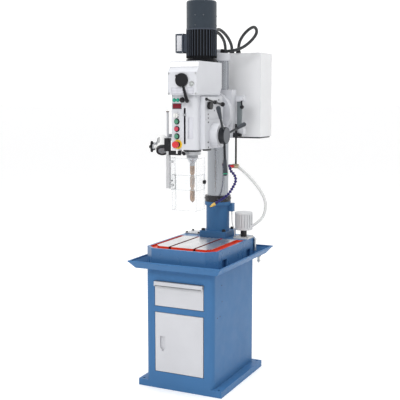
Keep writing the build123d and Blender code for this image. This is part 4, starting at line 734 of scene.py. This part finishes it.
# Hoses, conduits and the lead, along the same routes as the solids
lead_route = metres([(78, 216, 882), (78, 216, 850), (90, 192, 814), (116, 170, 780), (116, 170, 748)])
hose_route = metres([(216, 206, 818), (240, 219, 835), (264, 232, 872), (270, 238, 926),
                     (258, 230, 978), (226, 204, 1036), (188, 180, 1088), (150, 162, 1124)])
joint_route = metres([(91, 160, 1127), (91, 160, 1113), (106, 160, 1100), (120, 160, 1083),
                      (126, 158, 1062), (122, 151, 1040), (111, 142, 1016), (98, 130, 990),
                      (78, 116, 968), (50, 100, 948), (34, 90, 936)])
loop_route = metres([CAP_ENTRY, (74, 200, 1752), (132, 214, 1766), (178, 234, 1804), (206, 254, 1850),
                     (184, 270, 1886), (140, 288, 1872), (96, 308, 1840), (62, 332, 1798), LOOP_GLAND])
conduit_a = metres([(39, 67, 1838), (41, 91, 1854), (34, 130, 1866), (36, 188, 1853),
                    (34, 250, 1830), (27, 304, 1806), (20, 340, 1782), RIGHT_GLAND])
conduit_b = metres([(8, 76, 1822), (12, 101, 1839), (16, 150, 1851), (14, 204, 1838),
                    (3, 266, 1817), (-9, 308, 1799), (-18, 336, 1777), LEFT_GLAND])
CONDUIT_R = 8.5
HOSE_R = 8
HOSE_STEP = 6
LEAD_R = 2.5
LEAD_STEP = 3
JOINT_R = 8.5
JOINT_STEP = 0.6
RIB_STEP = 1.0
RIB_DEPTH = 0.35
RIBS_PER_WAVE = 4
CORD_SMOOTH = 80
LINK_SMOOTH = 50
GLAND_FORM = [(0, 13.5), (9, 13.5), (10, 12), (17, 11), (22, 9.1)]


def ribbed(radius):
    """The radius of a corrugated conduit, ring by ring."""
    return lambda n: radius - RIB_DEPTH * (1 - math.cos(2 * math.pi * n / RIBS_PER_WAVE)) / 2


def plain(radius):
    return lambda n: radius


def cord_piece(name, route, radius_of, step, material):
    """A tube along a route's smooth line, the points that it follows and its length."""
    line, total = along_line(smooth_line(name, route), step * MM)
    piece = add_piece(name, tube(line, radius_of), None, material, CORD_SMOOTH)
    return piece, [place for place, way in line], total


hose, hose_path, hose_length = cord_piece("clear_coolant_hose", hose_route, plain(HOSE_R), HOSE_STEP,
                                          clear_hose)
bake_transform(hose)
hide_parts("coolant_hose")

loop, loop_path, loop_length = cord_piece("looped_conduit", loop_route, ribbed(CONDUIT_R), RIB_STEP,
                                          black_rubber)
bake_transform(loop)
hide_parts("conduit_loop")

for name, route in (("motor_conduit_right", conduit_a), ("motor_conduit_left", conduit_b)):
    conduit, conduit_path, conduit_length = cord_piece(name, route, ribbed(CONDUIT_R), RIB_STEP,
                                                       black_rubber)
    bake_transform(conduit)
    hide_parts("motor_conduits")

lead, lead_path, lead_length = cord_piece("pump_cable", lead_route, plain(LEAD_R), LEAD_STEP, lead_rubber)
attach(lead, "stand")
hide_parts("pump_lead")

# Jointed hose: a row of ball and cup links that follow the smooth line
LINKS = 16
LINK_FORM = ((0.00, 0.50), (0.06, 0.80), (0.18, 1.00), (0.46, 1.00), (0.58, 0.88), (0.64, 0.62),
             (0.72, 0.50), (0.86, 0.56), (1.00, 0.50))
joint_line, joint_length = along_line(smooth_line("jointed_hose", joint_route), JOINT_STEP * MM)
link_radii = []
for n in range(len(joint_line)):
    share = (n / (len(joint_line) - 1) * LINKS) % 1.0
    for (a, low), (b, high) in zip(LINK_FORM, LINK_FORM[1:]):
        if a <= share <= b:
            link_radii.append(JOINT_R * (low + (high - low) * (share - a) / (b - a)))
            break
jointed = add_piece("jointed_coolant_hose", tube(joint_line, lambda n: link_radii[n], 20), "sleeve",
                    violet_plastic, LINK_SMOOTH)
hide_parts("jointed_hose")

# Stand: foot bolts, tank cover, level gauge, drain, screws and the gland of the column cap
FOOT_TOP = 776
COVER_TOP = 746
PUMP_CENTRE = (156, 200)
PUMP_FLANGE_TOP = 748
PANEL_SIDE = 192.5
RING_SCREWS = 8
RING_SCREW_R = 70.5
RING_SCREW_Z = 953.5
foot_places = grid(either_side(0, 62), either_side(COLUMN_Y, 58), [FOOT_TOP])
screw_set("foot_bolts", add_socket_head, foot_places, UP, 10, 12, "stand", black_steel)
box_piece("tank_cover", (-200, -110), (191, 287), (741.2, COVER_TOP), "stand", tank_paint, 1.2)
screw_set("cover_bolts", add_socket_head, grid((-192, -118), (199, 279), [COVER_TOP]), UP, 6, 7, "stand",
          black_steel)
lathe_piece("level_gauge", [(0, 8), (10, 8), (11, 6.5), (61, 6.5), (62, 8), (72, 8)], (210, 232, 666), UP,
            "stand", zinc, sides=24)
lathe_piece("drain_nut", [(0, 13), (14, 13), (15, 11), (18, 9)], (197, 326, 636), DOWN, "stand", black_steel,
            sides=6)
lathe_piece("drain_spout", [(0, 8), (20, 8), (22, 10), (26, 10), (28, 7), (34, 7), (34, 5), (30, 5)],
            (197, 326, 618), DOWN, "stand", zinc)
panel_places = [(PANEL_SIDE, y, z) for y, z in ((-225, 398), (-194, 399), (-173, 556), (-170, 471))]
screw_set("panel_screws", add_pan_head, panel_places, RIGHT, 3.2, 1.4, "stand", black_steel)
pump_places = grid(either_side(PUMP_CENTRE[0], 36), either_side(PUMP_CENTRE[1], 36), [PUMP_FLANGE_TOP])
screw_set("pump_screws", add_pan_head, pump_places, UP, 5, 4, "stand", zinc)
shape = bmesh.new()
for n in range(RING_SCREWS):
    turn = 2 * math.pi * (n + 0.5) / RING_SCREWS
    place, out = around(COLUMN_Y, RING_SCREW_R, turn, RING_SCREW_Z)
    add_socket_head(shape, place, out, 5, 3)
add_piece("ring_screws", shape, "stand", hub_paint)
lathe_piece("cap_gland", GLAND_FORM, CAP_ENTRY, RIGHT, "stand", black_plastic)

# Sleeve: clamp bar, coolant clamp knob, glands, gland plate and lid screws
box_piece("clamp_bar", (117, 145), (186, 196), (1341.3, 1482.7), "sleeve", bar_paint, 2)
lathe_piece("coolant_clamp_knob", [(0, 4), (6, 4), (6.5, 9), (16, 9), (18, 7)], (138, 160, 1304), RIGHT,
            "sleeve", black_plastic, sides=48, lobes=8, lobe_depth=0.08)
lathe_set("box_glands", GLAND_FORM, [LOOP_GLAND, RIGHT_GLAND, LEFT_GLAND], UP, "sleeve", black_plastic,
          sides=24)
box_piece("gland_plate", (-40, 194), (328, 486), (1280, 1288), "sleeve", black_rubber, 1)
screw_set("lid_screws", add_pan_head, grid((-35, 189), [495], (1300, 1518, 1737)), BACKWARD, 5, 3, "sleeve",
          zinc)

# Motor: flange bolts, blank label and screws of the terminal box, and the fan cover's screws and grille
FAN_TOP = 1997
COVER_R = 78
BOLT_R = 76
BOLT_TURN = -13
BOLT_Z = 1700
TERMINAL_FRONT = -40
UPPER_ROW = 1920
LOWER_ROW = 1870
SINGLE_SCREW = -57.5
GRILLE_RINGS = 5
bolt_turns = [math.radians(90 * n + BOLT_TURN) for n in range(4)]
bolt_places = [around(MOTOR_Y, BOLT_R, turn, BOLT_Z)[0] for turn in bolt_turns]
lathe_set("flange_bolts", [(0, 5), (5, 5), (5.8, 4.2)], bolt_places, UP, "head", black_steel, sides=6)
box_piece("terminal_label", (-129, -100), (TERMINAL_FRONT - 0.6, TERMINAL_FRONT), (1744, 1824), "head",
          panel_paint, 0.25)
screw_set("terminal_screws", add_pan_head, grid((-133, -96), [TERMINAL_FRONT], (1738.5, 1829.5)), FORWARD,
          2, 1.2, "head", zinc)
shape = bmesh.new()
for degrees in (-89, SINGLE_SCREW, 24, 105, 180):
    for z in (UPPER_ROW, LOWER_ROW):
        if z == UPPER_ROW or degrees != SINGLE_SCREW:
            place, out = around(MOTOR_Y, COVER_R, math.radians(degrees), z)
            add_pan_head(shape, place, out, 3, 2)
add_piece("cover_screws", shape, "head", hub_paint)
grille_places = []
for ring in range(GRILLE_RINGS):
    count = 12 + 6 * ring
    for n in range(count):
        grille_places.append(around(MOTOR_Y, 18 + 10 * ring, 2 * math.pi * n / count, FAN_TOP)[0])
lathe_set("cover_grille", [(0, 2.6), (0.25, 2.6)], grille_places, UP, "head", black_plastic, sides=10)

# Head front: bezels, stop collar and base, display, signal lamps and depth label
PLATE = 0.5
PRINT_BACK = 0.4
PRINT_FRONT = 0.7
PRINT_BEVEL = 0.05
MARKS = 41
MARK_TOP = 1402
MARK_STEP = 2.5
MARK_LEFT = 21.5
HALF_MARK = 0.35
SHORT_MARK = 5
LONG_MARK = 9
MARKS_PER_LONG = 4
lathe_set("button_bezels", [(0, 15), (2.5, 15), (4.2, 13.6), (4.2, 11.7), (0, 11.7)],
          grid([-41], [HEAD_FRONT], (1384, 1347, 1310)), FORWARD, "head", black_plastic, sides=40,
          hollow=True)
lathe_piece("stop_collar", [(0, 24), (2, 24), (3, 23), (3, 9), (0, 9)], STOP_CENTRE, FORWARD, "head",
            yellow_plastic, sides=48, hollow=True)
lathe_piece("stop_base", [(3, 15), (15, 14), (16.6, 12.5), (16.6, 8.6), (3, 8.6)], STOP_CENTRE, FORWARD,
            "head", black_plastic, sides=40, hollow=True)
box_piece("display_frame", (-65, -14), (HEAD_FRONT - 3, HEAD_FRONT), (1447, 1475), "head", hub_paint, 0.8)
box_piece("display_glass", (-62, -17), (HEAD_FRONT - 4, HEAD_FRONT - 2.5), (1450, 1472), "head",
          display_plastic, 0.4)
lathe_set("signal_lamps", [(0, 9.8), (2, 9.8), (3, 9), (5.5, 8), (7.5, 5), (8, 1.5)],
          grid((-55.5, -35.5), [HEAD_FRONT], [1491]), FORWARD, "head", teal_plastic)
box_piece("depth_label", (20, 49), (HEAD_FRONT - PLATE, HEAD_FRONT), (1298, 1407), "head", plate_paint, 0.2)
mark_depth = (HEAD_FRONT - PRINT_FRONT, HEAD_FRONT - PRINT_BACK)
shape = bmesh.new()
for n in range(MARKS):
    reach = SHORT_MARK if n % MARKS_PER_LONG else LONG_MARK
    mark_height = either_side(MARK_TOP - MARK_STEP * n, HALF_MARK)
    add_box(shape, (MARK_LEFT, MARK_LEFT + reach), mark_depth, mark_height, PRINT_BEVEL)
add_piece("depth_marks", shape, "head", line_paint)

# Gearbox front: bare plate on the sloped face, sight glass, ruled chart plate and screws
HALF_LINE = 0.4
CHART_LEFT = -58
CHART_RIGHT = 62
CHART_BOTTOM = 1522
COLUMN_STEP = 30
ROW_STEP = 14.5
FRONT_PLATE_ENDS = grid((-79, 79), [-210.55], [1667.5])
SLOPE_NORMAL = (0, -32, 3)
shape = bmesh.new()
add_strip(shape, *FRONT_PLATE_ENDS, SLOPE_NORMAL, 23, 0.5)
add_piece("front_plate", shape, "head", bright_paint)
lathe_piece("sight_ring", [(0, 13), (2.5, 13), (4, 11.5), (4, 9.2), (0, 9.2)], SIGHT_CENTRE, FORWARD, "head",
            zinc, sides=40, hollow=True)
lathe_piece("sight_glass", [(0, 9.2), (1.6, 9.2), (2.2, 7)], SIGHT_CENTRE, FORWARD, "head", glass)
box_piece("chart_plate", (-60, 64), (CASE_FRONT - PLATE, CASE_FRONT), (1520, 1553), "head", plate_paint, 0.2)
line_depth = (CASE_FRONT - PRINT_FRONT, CASE_FRONT - PRINT_BACK)
shape = bmesh.new()
for n in range(5):
    line_width = either_side(CHART_LEFT + COLUMN_STEP * n, HALF_LINE)
    add_box(shape, line_width, line_depth, (1521.5, 1551.5), PRINT_BEVEL)
for n in range(3):
    line_height = either_side(CHART_BOTTOM + ROW_STEP * n, HALF_LINE)
    add_box(shape, (CHART_LEFT, CHART_RIGHT), line_depth, line_height, PRINT_BEVEL)
add_piece("chart_lines", shape, "head", chart_lines)
screw_set("case_screws", add_socket_head, grid((-75, 75), [CASE_FRONT], (1523, 1622)), FORWARD, 4, 2.6,
          "head", zinc)

# Drawer: dark strip along the lower edge of the folded pull, painted shade for the shadow under the lip
box_piece("drawer_lip_shade_strip", (-132, 132), (-291.4, -290.6), (545.8, 550.6), "drawer", lip_shade_paint, 0.3)

# Head side and foot: cover plate, a black wiper ring round the quill and a black seal under the side pad,
# which also stand in for the shadow gaps there as painted shade, and screws
PAD_X = 98
box_piece("side_plate", (PAD_X, PAD_X + 0.9), (-172, -2), (1393, 1504), "head", white_paint, 0.4)
# Black ring modelled as a wiper, standing in as painted shade for the shadow gap above the collar
lathe_piece("quill_wiper_shade_ring", [(0, 38.6), (0, 46), (12.4, 46), (13, 45.4), (13, 43.8), (3, 43.8), (3, 38.6)],
            (0, QUILL_Y, 1242), DOWN, "head", black_rubber, sides=64, hollow=True)
# Black strip modelled as a seal, standing in as painted shade for the shadow under the pad
box_piece("pad_seal_shade_strip", (72.3, 97), (-150, -98), (1236, 1246.2), "head", black_rubber, 0.6)
side_places = [(PAD_X, y, z) for y, z in ((-139, 1420), (-139, 1401), (-137, 1380), (-139, 1279),
                                          (-135, 1253), (-11, 1492), (-66, 1438))]
screw_set("side_screws", add_socket_head, side_places, RIGHT, 4, 2, "head", black_steel)

# Guard post and lamp: post cap, lamp knob, lens and vents
LENS_OUT = 27
VENT_R = 27
VENT_BACK = 48
VENT_FRONT = 6
VENT_BACK_R = 27.3
VENT_FRONT_R = 29.7
lathe_piece("post_cap", [(0, 8.5), (3, 8.5), (4.5, 7)], (-100, -200, 1431), UP, "head", brown_plastic)
lathe_piece("lamp_knob", [(0, 9), (1.5, 11), (3, 25), (10, 25), (12, 22), (13, 10)], (-208.2, -154, 1251),
            LEFT, "head", black_plastic, sides=60, lobes=5, lobe_depth=0.22)
lathe_piece("lamp_lens", [(0, 22), (1.2, 22), (2.2, 16), (2.6, 6)], LAMP_CENTRE + LAMP_AIM * LENS_OUT,
            LAMP_AIM, "lamp", lens_glass, sides=40)
vent_way = Vector((-0.47, -0.77, 0.43))
vent_side = LAMP_AIM.cross(vent_way).normalized()
shape = bmesh.new()
for shift in (-8, 0, 8):
    tilted = (vent_way + vent_side * shift / VENT_R).normalized()
    tilted = (tilted - LAMP_AIM * tilted.dot(LAMP_AIM)).normalized()
    vent_start = LAMP_CENTRE - LAMP_AIM * VENT_BACK + tilted * VENT_BACK_R
    vent_end = LAMP_CENTRE - LAMP_AIM * VENT_FRONT + tilted * VENT_FRONT_R
    add_strip(shape, vent_start, vent_end, tilted, 4, 0.7)
add_piece("lamp_vents", shape, "lamp", hub_paint)

# Feed handles: green end band on the lower grip
FEED_CENTRE = Vector((155.5, -67, 1312))
BAND_REACH = 199
turn = math.radians(165)
lean = math.radians(8.6)
grip_way = Vector((math.sin(lean), -math.cos(lean) * math.sin(turn), math.cos(lean) * math.cos(turn)))
lathe_piece("grip_band", [(0, 12.0), (0.6, 12.4), (4, 12.2), (5, 11.3)], FEED_CENTRE + grip_way * BAND_REACH,
            grip_way, "feed handles", ring_plastic)

# Guard: knob and button on the upper shield, and the cut edges and folds of the clear sheets as pale strips,
# whose paleness is painted highlight
SHEET_THICK = 3.05
HALF_EDGE = 1.6
FOLD_WIDTH = 2
PROUD = 0.05
EDGE_BEVEL = 0.3
lathe_piece("shield_knob", [(0, 4), (3, 4), (3.5, 10), (13, 10), (15, 8)], (75, -150, 1078), RIGHT, "guard",
            black_plastic, sides=48, lobes=8, lobe_depth=0.08)
lathe_piece("shield_button", [(0, 4.5), (3, 4.5), (4, 3.2)], (-63, -225, 1085), FORWARD, "guard", hub_paint)


def sheet_edges(name, left, right, front, right_back, left_back, z, body):
    """Thin strips along the borders and folds of a clear sheet folded to a U, paler than the sheet as
    painted highlights for the glints there.
    """
    right_wall = (right - SHEET_THICK, right + PROUD)
    left_wall = (left - PROUD, left + SHEET_THICK)
    front_wall = (front - PROUD, front + SHEET_THICK)
    front_fold = (front - PROUD, front + FOLD_WIDTH)
    shape = bmesh.new()
    for level in z:
        border = either_side(level, HALF_EDGE)
        add_box(shape, (left, right), front_wall, border, EDGE_BEVEL)
        add_box(shape, right_wall, (front, right_back), border, EDGE_BEVEL)
        add_box(shape, left_wall, (front, left_back), border, EDGE_BEVEL)
    add_box(shape, right_wall, either_side(right_back, HALF_EDGE), z, EDGE_BEVEL)
    add_box(shape, left_wall, either_side(left_back, HALF_EDGE), z, EDGE_BEVEL)
    add_box(shape, (right - FOLD_WIDTH, right + PROUD), front_fold, z, EDGE_BEVEL)
    add_box(shape, (left - PROUD, left + FOLD_WIDTH), front_fold, z, EDGE_BEVEL)
    add_piece(name, shape, body, clear_edge)


sheet_edges("upper_shield_edges", -70, 75, -225, -125, -180, (1040, 1200), "guard")
sheet_edges("lower_shield_edges", -66.5, 71.5, -221.5, -125, -180, (935, 1115), "lower shield")

# Quill: clamp screw on the collar
lathe_piece("quill_screw", [(0, 4), (4, 4), (4.5, 7), (13, 7), (14, 6)], (-42, -130, 1222), (-1, -0.24, 0),
            "quill", black_steel, sides=40, lobes=10, lobe_depth=0.05)

# Floor, light and camera, in metres
FLOOR_HALF = 200
FLOOR_GLOW = 0.22
SKY_STRENGTH = 1.2
VIEWER_WAY = (0.433, -0.901, 0.0)
floor = bpy.data.meshes.new("floor")
floor_corners = [(-FLOOR_HALF, -FLOOR_HALF, 0), (FLOOR_HALF, -FLOOR_HALF, 0),
                 (FLOOR_HALF, FLOOR_HALF, 0), (-FLOOR_HALF, FLOOR_HALF, 0)]
floor.from_pydata(floor_corners, [], [(0, 1, 2, 3)])
floor_object = bpy.data.objects.new("floor", floor)
bpy.context.scene.collection.objects.link(floor_object)
floor_paint = paint("floor_paint", (0.90, 0.90, 0.90), 0.7, 0.01, peel=0.02)
floor_shader = floor_paint.node_tree.nodes["Principled BSDF"]
floor_shader.inputs["Emission Color"].default_value = (1, 1, 1, 1)
floor_shader.inputs["Emission Strength"].default_value = FLOOR_GLOW
floor.materials.append(floor_paint)

world = bpy.data.worlds.new("studio")
bpy.context.scene.world = world
world.use_nodes = True
sky = world.node_tree
toward_viewer = sky.nodes.new("ShaderNodeVectorMath")
toward_viewer.operation = "DOT_PRODUCT"
toward_viewer.inputs[1].default_value = VIEWER_WAY
link(sky, sky.nodes.new("ShaderNodeTexCoord").outputs["Generated"], toward_viewer.inputs[0])
# White behind, greyer at the sides and on the viewer's side, with a narrow dark gap between the two
walls = sky.nodes.new("ShaderNodeValToRGB")
first_stop, last_stop = walls.color_ramp.elements
first_stop.position = 0.30
first_stop.color = (1, 1, 1, 1)
last_stop.position = 0.74
last_stop.color = (0.35, 0.35, 0.36, 1)
for position, level in ((0.42, 0.69), (0.50, 0.69), (0.525, 0.40), (0.55, 0.40), (0.565, 0.72)):
    stop = walls.color_ramp.elements.new(position)
    stop.color = (level, level, level, 1)
half = maths(sky, "MULTIPLY", toward_viewer.outputs["Value"], 0.5)
link(sky, maths(sky, "ADD", half, 0.5), walls.inputs["Fac"])
link(sky, walls.outputs["Color"], sky.nodes["Background"].inputs["Color"])
sky.nodes["Background"].inputs["Strength"].default_value = SKY_STRENGTH


def area_light(name, place, target, size, power):
    """A soft rectangular light, its power in watts, that doesn't show in reflections."""
    light = bpy.data.lights.new(name, "AREA")
    light.shape = "RECTANGLE"
    light.size = size[0]
    light.size_y = size[1]
    light.energy = power
    lamp = bpy.data.objects.new(name, light)
    lamp.location = place
    lamp.rotation_euler = (Vector(target) - Vector(place)).to_track_quat("-Z", "Y").to_euler()
    lamp.visible_glossy = False
    bpy.context.scene.collection.objects.link(lamp)


area_light("key", (4.2, -0.8, 2.4), (0, 0, 1.2), (2.4, 2.4), 6)
area_light("fill", (0.0, -3.7, 3.7), (0, 0, 0.9), (1.8, 1.6), 86)
area_light("top", (0.8, -0.2, 4.8), (0, 0, 0.8), (3.5, 3.5), 95)

SENSOR_MM = 36
LENS_MM = 71.8
CAMERA_PLACE = (1.8121, -3.7992, 1.4934)
CAMERA_TILT = math.radians(82.83)
CAMERA_TURN = math.radians(25.67)
camera = bpy.data.cameras.new("camera")
camera.sensor_width = SENSOR_MM
camera.lens = LENS_MM
camera_object = bpy.data.objects.new("camera", camera)
camera_object.location = CAMERA_PLACE
camera_object.rotation_euler = (CAMERA_TILT, 0, CAMERA_TURN)
bpy.context.scene.collection.objects.link(camera_object)
bpy.context.scene.camera = camera_object
bpy.context.scene.view_settings.view_transform = "Standard"
